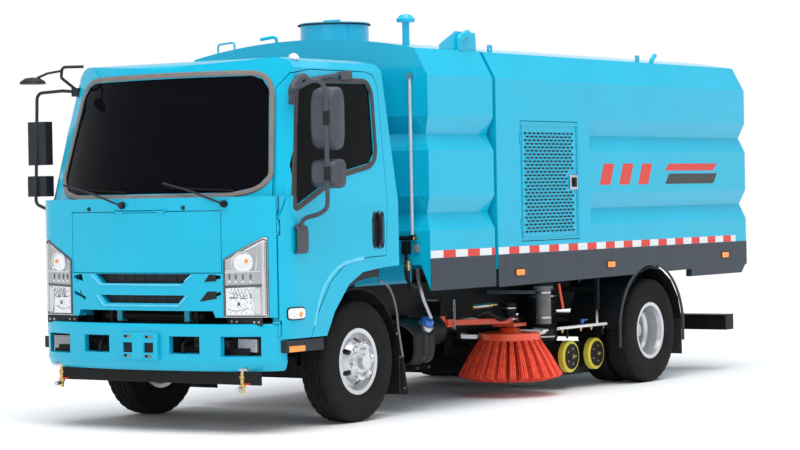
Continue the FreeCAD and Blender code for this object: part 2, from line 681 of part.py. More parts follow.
def bumper():
    """A hollow bumper that wraps the front, with lamp and air openings and a flap below."""
    def shell(label, inset, low, high):
        """The bumper's plan, shrunk by an inset, between two heights."""
        nose = BUMPER_NOSE + inset
        half = BUMPER_HALF - inset
        return pad(label, "xy", [
            (-half, BUMPER_NOSE + 140), (-half, BUMPER_NOSE + 150), (half, BUMPER_NOSE + 150),
            (half, BUMPER_NOSE + 140), (half - 150, nose + 98), (half * 0.5, nose + 30),
            (half * 0.18, nose), (-half * 0.18, nose), (-half * 0.5, nose + 30), (-half + 150, nose + 98),
        ], (low, high))
    outer = shell("bumper_outer", 0, BUMPER_LOW, BUMPER_HIGH)
    inner = shell("bumper_inner", BUMPER_SKIN, BUMPER_LOW - 20, BUMPER_HIGH + 20)
    openings = []
    for word, side in (("left", 1), ("right", -1)):
        for what, near, far, low, high in (("fog", 690, 890, 520, 600), ("air", 250, 480, 520, 620)):
            x = sorted((near * side, far * side))
            openings.append(slab(f"bumper_{what}_{word}", (x[0], x[1]), (-3320, -3000), (low, high)))
    skin = cut("bumper_skin", outer, inner, openings)
    beam = slab("bumper_beam", (-820, 820), (-3170, -3130), (BUMPER_LOW + 60, BUMPER_LOW + 140))
    stays = [slab(f"bumper_stay_{number}", (x, x + 50), (BUMPER_NOSE + 20, FRAME_FRONT),
                  (BUMPER_LOW + 60, BUMPER_LOW + 140))
             for number, x in enumerate((RAIL_HALF - 50, -RAIL_HALF))]
    posts = [slab(f"bumper_post_{number}", (x, x + 50), (FRAME_FRONT - 45, FRAME_FRONT),
                  (BUMPER_LOW + 60, RAIL_TOP - RAIL_DEEP + 36))
             for number, x in enumerate((RAIL_HALF - 60, -RAIL_HALF + 10))]
    flap = slab("bumper_flap", (-800, 800), (-3150, -3140), (310, BUMPER_LOW + 70))
    node(fuse("bumper_whole", skin, beam, stays, posts, flap), "front_bumper")
    fogs = [slab(f"fog_{number}", (x, x + 190), (-3225, -3170), (526, 594))
            for number, x in enumerate((695, -885))]
    tails = [slab(f"tail_{number}", (x, x + 330), (FRAME_REAR, FRAME_REAR + 30), (345, 435))
             for number, x in enumerate((560, -890))]
    return fogs, tails


def chassis_fittings(fogs, tails):
    """Mudguards, tanks, boxes, silencer, underrun guard and lamps."""
    guard = []
    for word, middle, radius, first, last in (("front", FRONT_AXLE, 487, 15, 150),
                                              ("rear", REAR_AXLE, 500, 8, 176)):
        spots = [math.radians(first + (last - first) / 8 * step) for step in range(9)]
        rim = [(middle + radius * math.cos(a), TYRE_RADIUS + radius * math.sin(a)) for a in spots]
        back = [(middle + (radius - 7) * math.cos(a), TYRE_RADIUS + (radius - 7) * math.sin(a))
                for a in reversed(spots)]
        x = (700, 925) if word == "front" else (REAR_TRACK / 2 - 235, BODY_HALF - 6)
        guard.append(pad(f"{word}_guard", "yz", rim + back, x))
    flap_front = slab("front_flap", (700, 940), (FRONT_AXLE + 465, FRONT_AXLE + 473), (150, 580))
    flap_rear = slab("rear_flap", (REAR_TRACK / 2 - 220, BODY_HALF - 10),
                     (REAR_AXLE + 490, REAR_AXLE + 498), (190, 490))
    arms = [slab(f"guard_arm_{number}", (RAIL_HALF, reach), (y, y + 40), (z, z + 30))
            for number, (y, z, reach) in enumerate((
                (FRONT_AXLE + 447, 554, 720),
                (REAR_AXLE - 20, TYRE_RADIUS + 496, 700)))]
    posts = slab("guard_post", (RAIL_HALF, RAIL_HALF + 30), (REAR_AXLE - 20, REAR_AXLE + 20),
                 (700, TYRE_RADIUS + 500))
    node(both("mudguards_all", fuse("front_guard_set", guard[0], flap_front, arms[0]),
              fuse("rear_guard_set", guard[1], flap_rear, arms[1], posts)), "mudguards")

    urea = fuse("urea_whole", slab("urea_body", (640, 950), (-1560, -1300), (320, 640)),
                rod("urea_neck", "z", (640, 672), (860, -1380), 32),
                slab("urea_bracket", (RAIL_HALF, 650), (-1500, -1360), (590, 630)))
    fuel = fuse("fuel_whole", slab("fuel_body", (-950, -480), (-1480, -620), (330, 690)),
                rod("fuel_neck", "z", (690, 720), (-860, -1400), 40),
                slab("fuel_bracket", (-490, -RAIL_HALF), (-1300, -800), (600, 650)))
    node(group("side_tanks_all", urea, fuel), "side_tanks")
    node(fuse("battery_whole", slab("battery_case", (-890, -480), (560, 960), (470, 700)),
              slab("battery_bracket", (-490, -RAIL_HALF), (600, 900), (600, 650))), "battery_box")
    node(fuse("silencer_whole", rod("silencer_drum", "y", (-1250, -620), (520, 520), 105),
              rod("tail_pipe", "y", (-630, -560), (520, 520), 32),
              slab("silencer_bracket", (RAIL_HALF, 520), (-960, -900), (600, 640))), "silencer")
    beam = slab("underrun_beam", (-990, 990), (FRAME_REAR - 140, FRAME_REAR), (330, 450))
    plate = slab("underrun_plate", (-990, 990), (FRAME_REAR - 180, FRAME_REAR + 6), (450, 456))
    legs = [slab(f"underrun_leg_{number}", (x, x + 60), (FRAME_REAR - 100, FRAME_REAR - 30),
                 (450, RAIL_TOP - RAIL_DEEP)) for number, x in enumerate((RAIL_HALF - 60, -RAIL_HALF))]
    node(fuse("underrun_whole", beam, plate, legs), "underrun_guard")
    node(group("chassis_lamps_all", fogs, tails), "chassis_lamps")


axles()
springs()
engine()
fog_lamps, tail_lamps = bumper()
chassis_fittings(fog_lamps, tail_lamps)


# ---------------------------------------------------------------- water tank

def ridged_side(inset, floor, wedge=False):
    """The body's cross section: bevelled shoulders, three ridges and two grooves a side."""
    half = BODY_HALF - inset
    deep = half - GROOVE
    right = [
        (half, floor), (half, RIDGE_THREE_HIGH), (deep, GROOVE_TWO), (half, RIDGE_TWO_LOW),
        (half, RIDGE_TWO_HIGH), (deep, GROOVE_ONE), (half, RIDGE_ONE_LOW), (half, SHOULDER - inset * 0.5),
    ]
    roof = (ROOF_HALF - inset * 0.5, ROOF_EDGE - inset)
    left = [(-u, v) for u, v in right]
    bow = (ROOF_HALF * ROOF_HALF + ROOF_RISE * ROOF_RISE) / (ROOF_RISE * 2)
    return left + [(-roof[0], roof[1], bow, 1)] + [roof] + right[::-1]


def tank():
    """The water tank: its front wears the same grooves as its sides, and a wedge ends each skirt."""
    half = BODY_HALF
    section = pad("tank_section", "xz", ridged_side(0, TANK_FLOOR), (TANK_FRONT, TANK_REAR))
    front = TANK_FRONT
    face = [
        (front, TANK_FLOOR - 20), (front, RIDGE_THREE_HIGH), (front + GROOVE, GROOVE_TWO),
        (front, RIDGE_TWO_LOW), (front, RIDGE_TWO_HIGH), (front + GROOVE, GROOVE_ONE),
        (front, RIDGE_ONE_LOW), (front, ROOF_EDGE + 200), (TANK_REAR, ROOF_EDGE + 200),
        (TANK_REAR, TANK_FLOOR - 20),
    ]
    block = common("tank_block", section, pad("tank_face", "yz", face, (-half - 10, half + 10)))
    wedge = pad("tank_wedge", "xz", [
        (half - 80, TANK_FLOOR + 5), (half, SKIRT_BOTTOM), (half, TANK_FLOOR + 5),
    ], (TANK_FRONT, TANK_FRONT + 12))
    collar = rod("manhole_collar", "z", (ROOF_EDGE, MANHOLE_TOP - 20), (0, MANHOLE_PLACE), MANHOLE_RADIUS)
    well = rod("manhole_well", "z", (MANHOLE_TOP - 190, MANHOLE_TOP + 50), (0, MANHOLE_PLACE),
               MANHOLE_RADIUS - 8)
    saddles = [slab(f"tank_saddle_{number}", (x, x + 90), (TANK_FRONT + 60, TANK_REAR - 60),
                    (SUBFRAME_TOP, TANK_FLOOR)) for number, x in
               enumerate((RAIL_HALF - 80, -RAIL_HALF - 10))]
    rim = MANHOLE_PLACE + MANHOLE_RADIUS
    lugs = [[slab(f"lid_lug_{number}", (x, x + 12), (rim + 14, rim + 44),
                  (MANHOLE_TOP - 60, MANHOLE_TOP + 8)),
             slab(f"lid_lug_foot_{number}", (x, x + 12), (rim - 6, rim + 20),
                  (MANHOLE_TOP - 60, MANHOLE_TOP - 24))]
            for number, x in enumerate((-42, 30))]
    pin = rod("lid_pin", "x", (-40, 40), (MANHOLE_PLACE + MANHOLE_RADIUS + 30, MANHOLE_TOP - 6), 7)
    return node(cut("tank_whole", fuse("tank_solid", block, wedge, mirrored("tank_wedge_right", wedge),
                                       collar, saddles, lugs, pin), well), "water_tank")


def tank_lid():
    """The manhole lid with its hinge strap and its clamp handle."""
    hinge_y = MANHOLE_PLACE + MANHOLE_RADIUS + 30
    disc = rod("lid_disc", "z", (MANHOLE_TOP - 18, MANHOLE_TOP - 6), (0, MANHOLE_PLACE),
               MANHOLE_RADIUS + 8)
    strap = slab("lid_strap", (-26, 26), (MANHOLE_PLACE - 60, hinge_y),
                 (MANHOLE_TOP - 12, MANHOLE_TOP + 2))
    eye = rod("lid_eye", "x", (-26, 26), (hinge_y, MANHOLE_TOP - 6), 14)
    bore = rod("lid_bore", "x", (-50, 50), (hinge_y, MANHOLE_TOP - 6), 7 + PIN_PLAY)
    grip = slab("lid_grip", (-70, 70), (MANHOLE_PLACE - 40, MANHOLE_PLACE - 22),
                (MANHOLE_TOP - 6, MANHOLE_TOP + 20))
    node(cut("tank_lid_whole", fuse("tank_lid_solid", disc, strap, eye, grip), bore), "tank_lid")


def tank_fittings(body):
    """Level tube, valve block, vent, hand rails, and the skirt plates."""
    face = TANK_FRONT
    level = [rod("level_tube", "z", (1200, 2310), (930, face - 22), 11),
             slab("level_top", (912, 948), (face - 40, face), (2290, 2326)),
             slab("level_foot", (912, 948), (face - 40, face), (1186, 1222))]
    valve = [slab("valve_body", (862, 902), (face - 60, face), (1090, 1180)),
             rod("valve_head", "x", (840, 930), (face - 40, 1200), 16),
             rod("valve_tail", "z", (1030, 1090), (882, face - 34), 12)]
    vent = [rod("vent_pipe", "z", (2480, 2700), (750, -1260), 25),
            turned("vent_cap", "z", [(0, 0), (0, 62), (22, 66), (50, 40), (58, 0)], (750, -1260, 2692))]
    fin = pad("roof_fin", "yz", [
        (-1112, 2500), (-1112, 2538), (-909, 2637), (-654, 2632), (-645, 2500),
    ], (926, 934))
    spout = pipe("fin_spout", [(940, -884, 2500), (940, -884, 2590), (940, -764, 2628)], 26, 40)
    rail = pipe("roof_rail", [(-600, -1455, 2500), (-600, -1455, 2610), (-750, -1455, 2600),
                              (-750, -1455, 2490)], 7, 22)
    bent = pipe("roof_pipe", [(-280, -1380, 2560), (-280, -1380, 2640), (-380, -1440, 2620)], 12, 26)
    above = {"vent": fuse("vent_mushroom", vent), "fin": fuse("fin_and_spout", fin, spout), "rail": rail,
             "bent": bent}
    node(group("tank_fittings_all", fuse("level_gauge", level), fuse("valve_block", valve),
               [cut(f"{name}_on_tank", piece, body) for name, piece in above.items()]), "tank_fittings")
    plate = slab("tank_skirt", (BODY_HALF, BODY_HALF + SKIRT_PLATE), (TANK_FRONT, TANK_REAR),
                 (SKIRT_BOTTOM, SKIRT_TOP))
    node(both("tank_skirts_all", plate), "tank_skirts")


water = tank()
tank_lid()
tank_fittings(water)


# ---------------------------------------------------------------- hopper

def hopper():
    """The tipping body: a ridged skin, a floor, a bulkhead, a rear frame and its tip hinges."""
    def form(label, inset, front, rear, low):
        """The body's outer form shrunk by an inset; its front stretch has flat sides."""
        half = BODY_HALF - inset
        ridged = pad(label + "_ridged", "xz", ridged_side(inset, low), (HOPPER_GROOVES, rear))
        bow = (ROOF_HALF * ROOF_HALF + ROOF_RISE * ROOF_RISE) / (ROOF_RISE * 2)
        roof = (ROOF_HALF - inset * 0.5, ROOF_EDGE - inset)
        plain = pad(label + "_plain", "xz", [
            (-half, low), (-half, SHOULDER - inset * 0.5), (-roof[0], roof[1], bow, 1), roof,
            (half, SHOULDER - inset * 0.5), (half, low),
        ], (front, HOPPER_GROOVES))
        return fuse(label, ridged, plain)
    wall = HOPPER_WALL
    outer = form("hopper_outer", 0, HOPPER_FRONT, HOPPER_REAR, HOPPER_FLOOR)
    inner = form("hopper_inner", wall, HOPPER_FRONT + wall, HOPPER_REAR + 10, HOPPER_FLOOR + wall)
    holes = []
    for word, side in (("left", 1), ("right", -1)):
        x = sorted(((BODY_HALF - 40) * side, (BODY_HALF + 10) * side), key=val)
        holes.append(slab(f"service_hole_{word}", x, (SERVICE_FRONT - SEAM, SERVICE_REAR + SEAM),
                          (SERVICE_LOW - SEAM, SERVICE_HIGH + SEAM)))
    inlet = rod("suction_inlet", "z", (HOPPER_FLOOR - 20, HOPPER_FLOOR + 40), (HOSE_X, HOSE_PLACE), 118)
    hinge_rooms = [rod(f"hinge_room_{word}_{number}", "z", (z, z + 72),
                       ((BODY_HALF - 2) * side, SERVICE_FRONT - SEAM), 13)
                   for word, side in (("left", 1), ("right", -1))
                   for number, z in enumerate((SERVICE_LOW + 84, SERVICE_HIGH - 156))]
    skin = cut("hopper_skin", outer, inner, holes, inlet, hinge_rooms)
    bulkhead = common("bulkhead_fit", form("bulkhead_form", wall * 0.5, HOPPER_FRONT, HOPPER_REAR,
                                           HOPPER_FLOOR), slab("bulkhead_slab", (-BODY_HALF, BODY_HALF),
                      (BULKHEAD, BULKHEAD + wall), (HOPPER_FLOOR + 1, ROOF_EDGE + 200)))
    ring = cut("rear_frame", common("rear_frame_fit", form("rear_frame_form", wall * 0.5, HOPPER_FRONT,
               HOPPER_REAR, HOPPER_FLOOR), slab("rear_frame_slab", (-BODY_HALF, BODY_HALF),
               (DOOR_FRAME, DOOR_FRAME + 8), (HOPPER_FLOOR + 1, ROOF_EDGE + 200))),
               slab("rear_frame_mouth", (-TAILGATE_HALF + 50, TAILGATE_HALF - 50),
                    (DOOR_FRAME - 10, DOOR_FRAME + 20), (HOPPER_FLOOR + 60, TAILGATE_TOP - 50)))
    rails_low = [slab(f"hopper_rail_{number}", (x, x + 60), (HOPPER_FRONT + 20, TIP_PLACE + 30),
                      (SUBFRAME_TOP + GAP, HOPPER_FLOOR + wall * 0.5)) for number, x in
                 enumerate((RAIL_HALF - 200, -RAIL_HALF + 140))]
    eyes = [rod(f"tip_eye_{number}", "x", (x, x + 60), (TIP_PLACE, TIP_HEIGHT), 38)
            for number, x in enumerate((RAIL_HALF - 200, -RAIL_HALF + 140))]
    bores = [rod("tip_bore", "x", (-RAIL_HALF - 60, RAIL_HALF + 60), (TIP_PLACE, TIP_HEIGHT), 22 + PIN_PLAY)]
    ram_ears = [slab(f"ram_ear_{number}", (x, x + 16), (RAM_HEAD - 40, RAM_HEAD + 40),
                     (RAM_HIGH - 28, HOPPER_FLOOR + wall * 0.5)) for number, x in enumerate((-46, 30))]
    rails_low += [slab(f"hopper_tie_{number}", (-RAIL_HALF + 180, RAIL_HALF - 180), (y, y + 50),
                       (HOPPER_FLOOR - 40, HOPPER_FLOOR + wall * 0.5))
                  for number, y in enumerate((-400, 2650))]
    ram_ears.append(rod("ram_head_pin", "x", (-46, 46), (RAM_HEAD, RAM_HIGH), 14))
    lugs = [slab(f"gate_lug_{number}", (x, x + 14), (DOOR_FRAME, TAILGATE_PIN + 22),
                 (TAILGATE_HINGE - 22, TAILGATE_HINGE + 22)) for number, x in
            enumerate((560, 640, -574, -654))]
    pins = [rod(f"gate_pin_{number}", "x", (x, x + 80), (TAILGATE_PIN, TAILGATE_HINGE), 8)
            for number, x in enumerate((567, -647))]
    service = [service_hinge(word, side) for word, side in (("left", 1), ("right", -1))]
    top = ROOF_EDGE - 10
    eyes_roof = [cut(f"lifting_eye_{number}", slab(f"lifting_plate_{number}", (924, 936), (y - 26, y + 26),
                                                   (top, top + 66)),
                     rod(f"lifting_hole_{number}", "x", (ROOF_HALF - 55, ROOF_HALF + 5), (y, top + 40), 14))
                 for number, y in enumerate((-460, 1714))]
    vent = pipe("hopper_vent", [(900, 2000, ROOF_EDGE - 20), (900, 2000, ROOF_EDGE + 30),
                                (900, 2060, ROOF_EDGE + 70)], 18, 30)
    solid = fuse("hopper_solid", skin, bulkhead, ring, rails_low, eyes, ram_ears, lugs, pins, service,
                 eyes_roof, vent)
    whole = cut("hopper_whole", solid, bores)
    width, length = (-BODY_HALF - 100, BODY_HALF + 100), (HOPPER_FRONT - 100, HOPPER_REAR + 100)
    side, height = BODY_HALF - 70, (HOPPER_FLOOR + 40, SHOULDER + 20)
    middle = (BULKHEAD + DOOR_FRAME) / 2
    node(split("hopper_welded", whole,
               slab("floor_part", width, length, (TIP_HEIGHT - 300, height[0])),
               slab("roof_part", width, length, (height[1], ROOF_EDGE + 300)),
               slab("left_wall_part", (side, width[1]), length, height),
               slab("right_wall_part", (width[0], -side), length, height),
               slab("front_part", (-side, side), (length[0], HOPPER_FRONT + 60), height),
               slab("bulkhead_part", (-side, side), (HOPPER_FRONT + 60, middle), height),
               slab("rear_part", (-side, side), (middle, length[1]), height)), "hopper_shell")


def service_hinge(word, side):
    """The fixed pin and tabs that carry one service door, at its front edge."""
    x = (BODY_HALF - 2) * side
    y = SERVICE_FRONT - SEAM
    low, high = SERVICE_LOW + 60, SERVICE_HIGH - 60
    pin = rod(f"service_pin_{word}", "z", (low, high), (x, y), 4)
    tabs = [slab(f"service_tab_{word}_{number}", sorted((x - 4, x + 4), key=val), (y - 16, y + 3),
                 (z, z + 14)) for number, z in enumerate((low, high - 14))]
    return [pin, tabs]


def service_doors():
    """The two side doors of the fan room, each on its front pin, with a latch."""
    for word, side in (("left", 1), ("right", -1)):
        x = BODY_HALF * side
        y = SERVICE_FRONT - SEAM
        inside = (BODY_HALF - SERVICE_LEAF) * side
        span = sorted((inside, x), key=val)
        leaf = slab(f"service_leaf_{word}", span, (SERVICE_FRONT, SERVICE_REAR), (SERVICE_LOW, SERVICE_HIGH))
        pane = slab(f"service_pane_{word}", sorted(((BODY_HALF - SERVICE_LEAF - 1) * side,
                    (BODY_HALF - 3) * side), key=val), (SERVICE_FRONT + 40, SERVICE_REAR - 40),
                    (SERVICE_LOW + 30, SERVICE_HIGH - 30))
        bar = slab(f"service_bar_{word}", span, (SERVICE_FRONT + 20, SERVICE_REAR - 20), (1565, 1600))
        barrels = [rod(f"service_barrel_{word}_{number}", "z", (z, z + 60), ((BODY_HALF - 2) * side, y), 8)
                   for number, z in enumerate((SERVICE_LOW + 90, SERVICE_HIGH - 150))]
        links = [slab(f"service_link_{word}_{number}", sorted(((BODY_HALF - 5) * side,
                      (BODY_HALF + 1) * side), key=val), (y, SERVICE_FRONT + 20), (z, z + 60))
                 for number, z in enumerate((SERVICE_LOW + 90, SERVICE_HIGH - 150))]
        latch = slab(f"service_latch_{word}", sorted((x, (BODY_HALF + 6) * side), key=val),
                     (SERVICE_REAR - 78, SERVICE_REAR - 38), (1530, 1620))
        bore = rod(f"service_bore_{word}", "z", (SERVICE_LOW, SERVICE_HIGH), ((BODY_HALF - 2) * side, y),
                   4 + PIN_PLAY)
        solid = fuse(f"service_solid_{word}", cut(f"service_pan_{word}", leaf, pane), bar, barrels, links,
                     latch)
        node(cut(f"service_whole_{word}", solid, bore), f"service_door_{word}")


def tailgate():
    """The rear door: a ribbed leaf on two top hinges."""
    face = DOOR_FRAME + 8 + GAP
    leaf = slab("gate_leaf", (-TAILGATE_HALF, TAILGATE_HALF), (face, face + TAILGATE_LEAF),
                (HOPPER_FLOOR + 40, TAILGATE_TOP))
    arms = [slab(f"gate_arm_{number}", (x, x + 40), (face + 4, face + 24),
                 (TAILGATE_TOP - 60, TAILGATE_HINGE)) for number, x in enumerate((587, -627))]
    eyes = [rod(f"gate_eye_{number}", "x", (x, x + 40), (TAILGATE_PIN, TAILGATE_HINGE), 14)
            for number, x in enumerate((587, -627))]
    bore = rod("gate_bore", "x", (-800, 800), (TAILGATE_PIN, TAILGATE_HINGE), 8 + PIN_PLAY)
    recesses = [slab(f"gate_recess_{row}_{column}", (x, x + 560), (face + 22, face + TAILGATE_LEAF + 5),
                     (z, z + 380)) for row, z in enumerate((HOPPER_FLOOR + 100, HOPPER_FLOOR + 540,
                                                            HOPPER_FLOOR + 980))
                for column, x in enumerate((-TAILGATE_HALF + 60, -280, TAILGATE_HALF - 620))]
    solid = fuse("gate_solid", cut("gate_ribbed", leaf, recesses), arms, eyes)
    node(cut("gate_whole", solid, bore), "tailgate")


def hopper_skirts():
    """Dark skirt plates, notched round the rear wheels, with a black rail behind each."""
    notch = rod("skirt_notch", "x", (BODY_HALF - 200, BODY_HALF + 50), (REAR_AXLE, TYRE_RADIUS),
                514)
    plate = pad("skirt_plate_form", "yz", [
        (HOPPER_FRONT, SKIRT_BOTTOM - 8), (HOPPER_REAR, SKIRT_BOTTOM + 28), (HOPPER_REAR, SKIRT_TOP),
        (HOPPER_FRONT, SKIRT_TOP),
    ], (BODY_HALF, BODY_HALF + SKIRT_PLATE))
    rail = pad("skirt_rail_form", "yz", [
        (2320, 800), (HOPPER_REAR - 90, 800), (HOPPER_REAR - 20, SKIRT_BOTTOM + 28),
        (HOPPER_REAR - 20, HOPPER_FLOOR), (2320, HOPPER_FLOOR),
    ], (BODY_HALF - 50, BODY_HALF))
    front_rail = slab("skirt_front_rail", (BODY_HALF - 50, BODY_HALF), (HOPPER_FRONT + 20, 1000),
                      (SKIRT_BOTTOM + 10, HOPPER_FLOOR))
    node(both("hopper_skirts_all", cut("hopper_skirt_cut", fuse("hopper_skirt_solid", plate, rail,
                                                                front_rail), notch)), "hopper_skirts")


def along(label, ends, reach, radius):
    """A cylinder on the line between two (y, z) points, between two distances from the first."""
    (y0, z0), (y1, z1) = [(val(y), val(z)) for y, z in ends]
    angle = math.atan2(z1 - z0, y1 - y0)
    bar = doc.addObject("Part::Cylinder", label)
    bind(bar, "Radius", radius)
    bind(bar, "Height", reach[1] - reach[0])
    start = Vector(0, y0 + math.cos(angle) * val(reach[0]), z0 + math.sin(angle) * val(reach[0]))
    bar.Placement = Placement(start, Rotation(Vector(0, 0, 1), Vector(0, math.cos(angle), math.sin(angle))))
    return bar


def tip_ram():
    """The tipping ram: a barrel on a foot pin, and a rod up to the ears under the body."""
    ends = ((RAM_FOOT, RAM_LOW), (RAM_HEAD, RAM_HIGH))
    closed = math.dist(*[(val(y), val(z)) for y, z in ends])
    barrel = along("ram_tube", ends, (36, closed - 46), 52)
    bore = along("ram_bore", ends, (50, closed - 40), 36)
    gland = cut("ram_gland", along("ram_gland_ring", ends, (closed - 56, closed - 46), 52),
                along("ram_gland_hole", ends, (closed - 100, closed - 40), 30 + PIN_PLAY))
    foot = rod("ram_foot_eye", "x", (-25, 25), ends[0], 40)
    hole = rod("ram_foot_hole", "x", (-40, 40), ends[0], 18 + PIN_PLAY)
    tube = cut("ram_tube_hollow", barrel, bore)
    node(cut("ram_barrel_whole", fuse("ram_barrel_solid", tube, gland, foot), hole), "ram_barrel")
    stem = along("ram_stem", ends, (51, closed - 34), 30)
    piston = along("ram_piston", ends, (51, 63), 35.5)
    eye = rod("ram_head_eye", "x", (-25, 25), ends[1], 41)
    slack = rod("ram_head_hole", "x", (-40, 40), ends[1], 31)
    node(cut("ram_rod_whole", fuse("ram_rod_solid", stem, piston, eye), slack), "ram_rod")


hopper()
service_doors()
tailgate()
hopper_skirts()
tip_ram()


# ---------------------------------------------------------------- cab

def cab_plan(label, inset, nose, bow, corner, heights, slant=None):
    """The cab's plan, a bowed nose with round corners, raised straight or along the windscreen."""
    half = CAB_HALF - inset
    nose = nose + inset
    back = CAB_BACK - inset
    turn = corner - inset
    middle = half - turn
    heart = nose + bow
    reach = root((bow - turn) * (bow - turn) - middle * middle)
    side_y = heart - reach
    grow = Dim(val(bow) / (val(bow) - val(turn)), f"({txt(bow)} / ({txt(bow)} - {txt(turn)}))")
    tip = (middle * grow, heart - reach * grow)
    points = [(half, back), (half, side_y, turn, 1), (tip[0], tip[1], bow, 1), (-tip[0], tip[1], turn, 1),
              (-half, side_y), (-half, back)]
    if slant is None:
        return pad(label, "xy", points, heights)
    body = doc.addObject("PartDesign::Body", label)
    body.Label = label
    sketch = outline(body, "XY_Plane", points, heights[0])
    feature = body.newObject("PartDesign::Pad", label + "_pad")
    feature.Profile = sketch
    feature.UseCustomVector = True
    feature.Direction = Vector(0, val(slant[0]), val(slant[1]))
    feature.AlongSketchNormal = True
    bind(feature, "Length", heights[1] - heights[0])
    return body


def cab_form(label, inset, inside=False):
    """The cab's outer form, shrunk by an inset; the inside has its own floor, dash and step lines."""
    lower = cab_plan(label + "_lower", inset, CAB_NOSE, CAB_BOW, CAB_CORNER, (SILL_LOW - 60, BELT))
    upper = cab_plan(label + "_upper", inset, SCREEN_FOOT, GLASS_BOW, GLASS_CORNER,
                     (BELT, CAB_ROOF + 100), (SCREEN_RAKE, SCREEN_RISE))
    far = CAB_NOSE - 120
    back = CAB_BACK - inset
    top = CAB_ROOF - inset
    crown = [(back, top - 60), (back - 30, top - 22), (back - 120, top), (CAB_BACK - 800, top + 6),
             (CAB_NOSE + 420, top - 6), (CAB_NOSE + 290, top - 34), (CAB_NOSE + 232, top - 76)]
    if inside:
        base = [(far + 300, CAB_FLOOR), (-2660, CAB_FLOOR), (-2440, SEAT_FLOOR), (back, SEAT_FLOOR)]
        nose = [(far, top - 76), (far, BELT - 10), (far + 300, BELT - 70)]
        side = pad(label + "_side", "yz", base + crown + nose, (-1200, 1200))
    else:
        base = [(far, APRON_LOW), (DOOR_FRONT - 9, APRON_LOW), (DOOR_FRONT - 9, SILL_LOW)] + ARCH + [
            (back, 1027)]
        side = pad(label + "_side", "yz", base + crown + [(far, top - 76)], (-1200, 1200))
    half = CAB_HALF - inset
    front = pad(label + "_front", "xz", [
        (half, 500), (half, BELT - 55), (half - 120, 2330 - inset), (half - 152, top - 24),
        (half - 220, top - 2), (0, top + 12), (-half + 220, top - 2), (-half + 152, top - 24),
        (-half + 120, 2330 - inset), (-half, BELT - 55), (-half, 500),
    ], (CAB_NOSE - 130, CAB_BACK + 100))
    return common(label, fuse(label + "_body", lower, upper), side, front)


def door_region(label, grow, x):
    """The door's outline seen from the side, grown by a seam."""
    return pad(label, "yz", [
        (DOOR_FRONT - grow, SILL_LOW - grow), (FRONT_AXLE - 643 + grow, SILL_LOW - grow),
        (FRONT_AXLE - 561 + grow, 760 - grow), (FRONT_AXLE - 415 + grow * 0.7, 950 - grow * 0.7),
        (FRONT_AXLE - 241 + grow * 0.3, 1060 - grow), (FRONT_AXLE + 21, 1093 - grow),
        (DOOR_BACK + grow, 1098 - grow), (DOOR_BACK + 80 + grow, 2230), (DOOR_BACK + 40 + grow, 2300 + grow),
        (DOOR_BACK - 40, 2318 + grow), (-2609, 2318 + grow), (-2790 - grow, 2290 + grow),
        (-2852 - grow, 2201), (DOOR_FRONT + 64 - grow * 3, BELT), (DOOR_FRONT - grow * 1.8, BELT - 155),
    ], x)


def window_region(label, shrink, x):
    """The door window's outline, shrunk by an overlap."""
    return pad(label, "yz", [
        (-2950 + shrink, 1425 + shrink * 1.6), (-2421, 1641 + shrink), (-2060 - shrink * 0.4, 1702 + shrink),
        (-1990 - shrink, 1770 + shrink * 0.5), (-1945 - shrink, 2190), (-1985 - shrink * 0.6, 2250 - shrink),
        (-2690, 2240 - shrink), (-2765 + shrink, 2205 - shrink), (-2935 + shrink, 1700),
    ], x)


def screen_region(label, shrink, y):
    """The windscreen's outline seen from the front, shrunk by an overlap."""
    low = BELT + 15 + shrink
    high = 2292 - shrink
    return pad(label, "xz", [
        (-650, low), (650, low), (800, low + 34), (866 - shrink, low + 110), (790 - shrink, high - 90),
        (740 - shrink, high - 24), (660, high), (-660, high), (-740 + shrink, high - 24),
        (-790 + shrink, high - 90), (-866 + shrink, low + 110), (-800, low + 34),
    ], y)


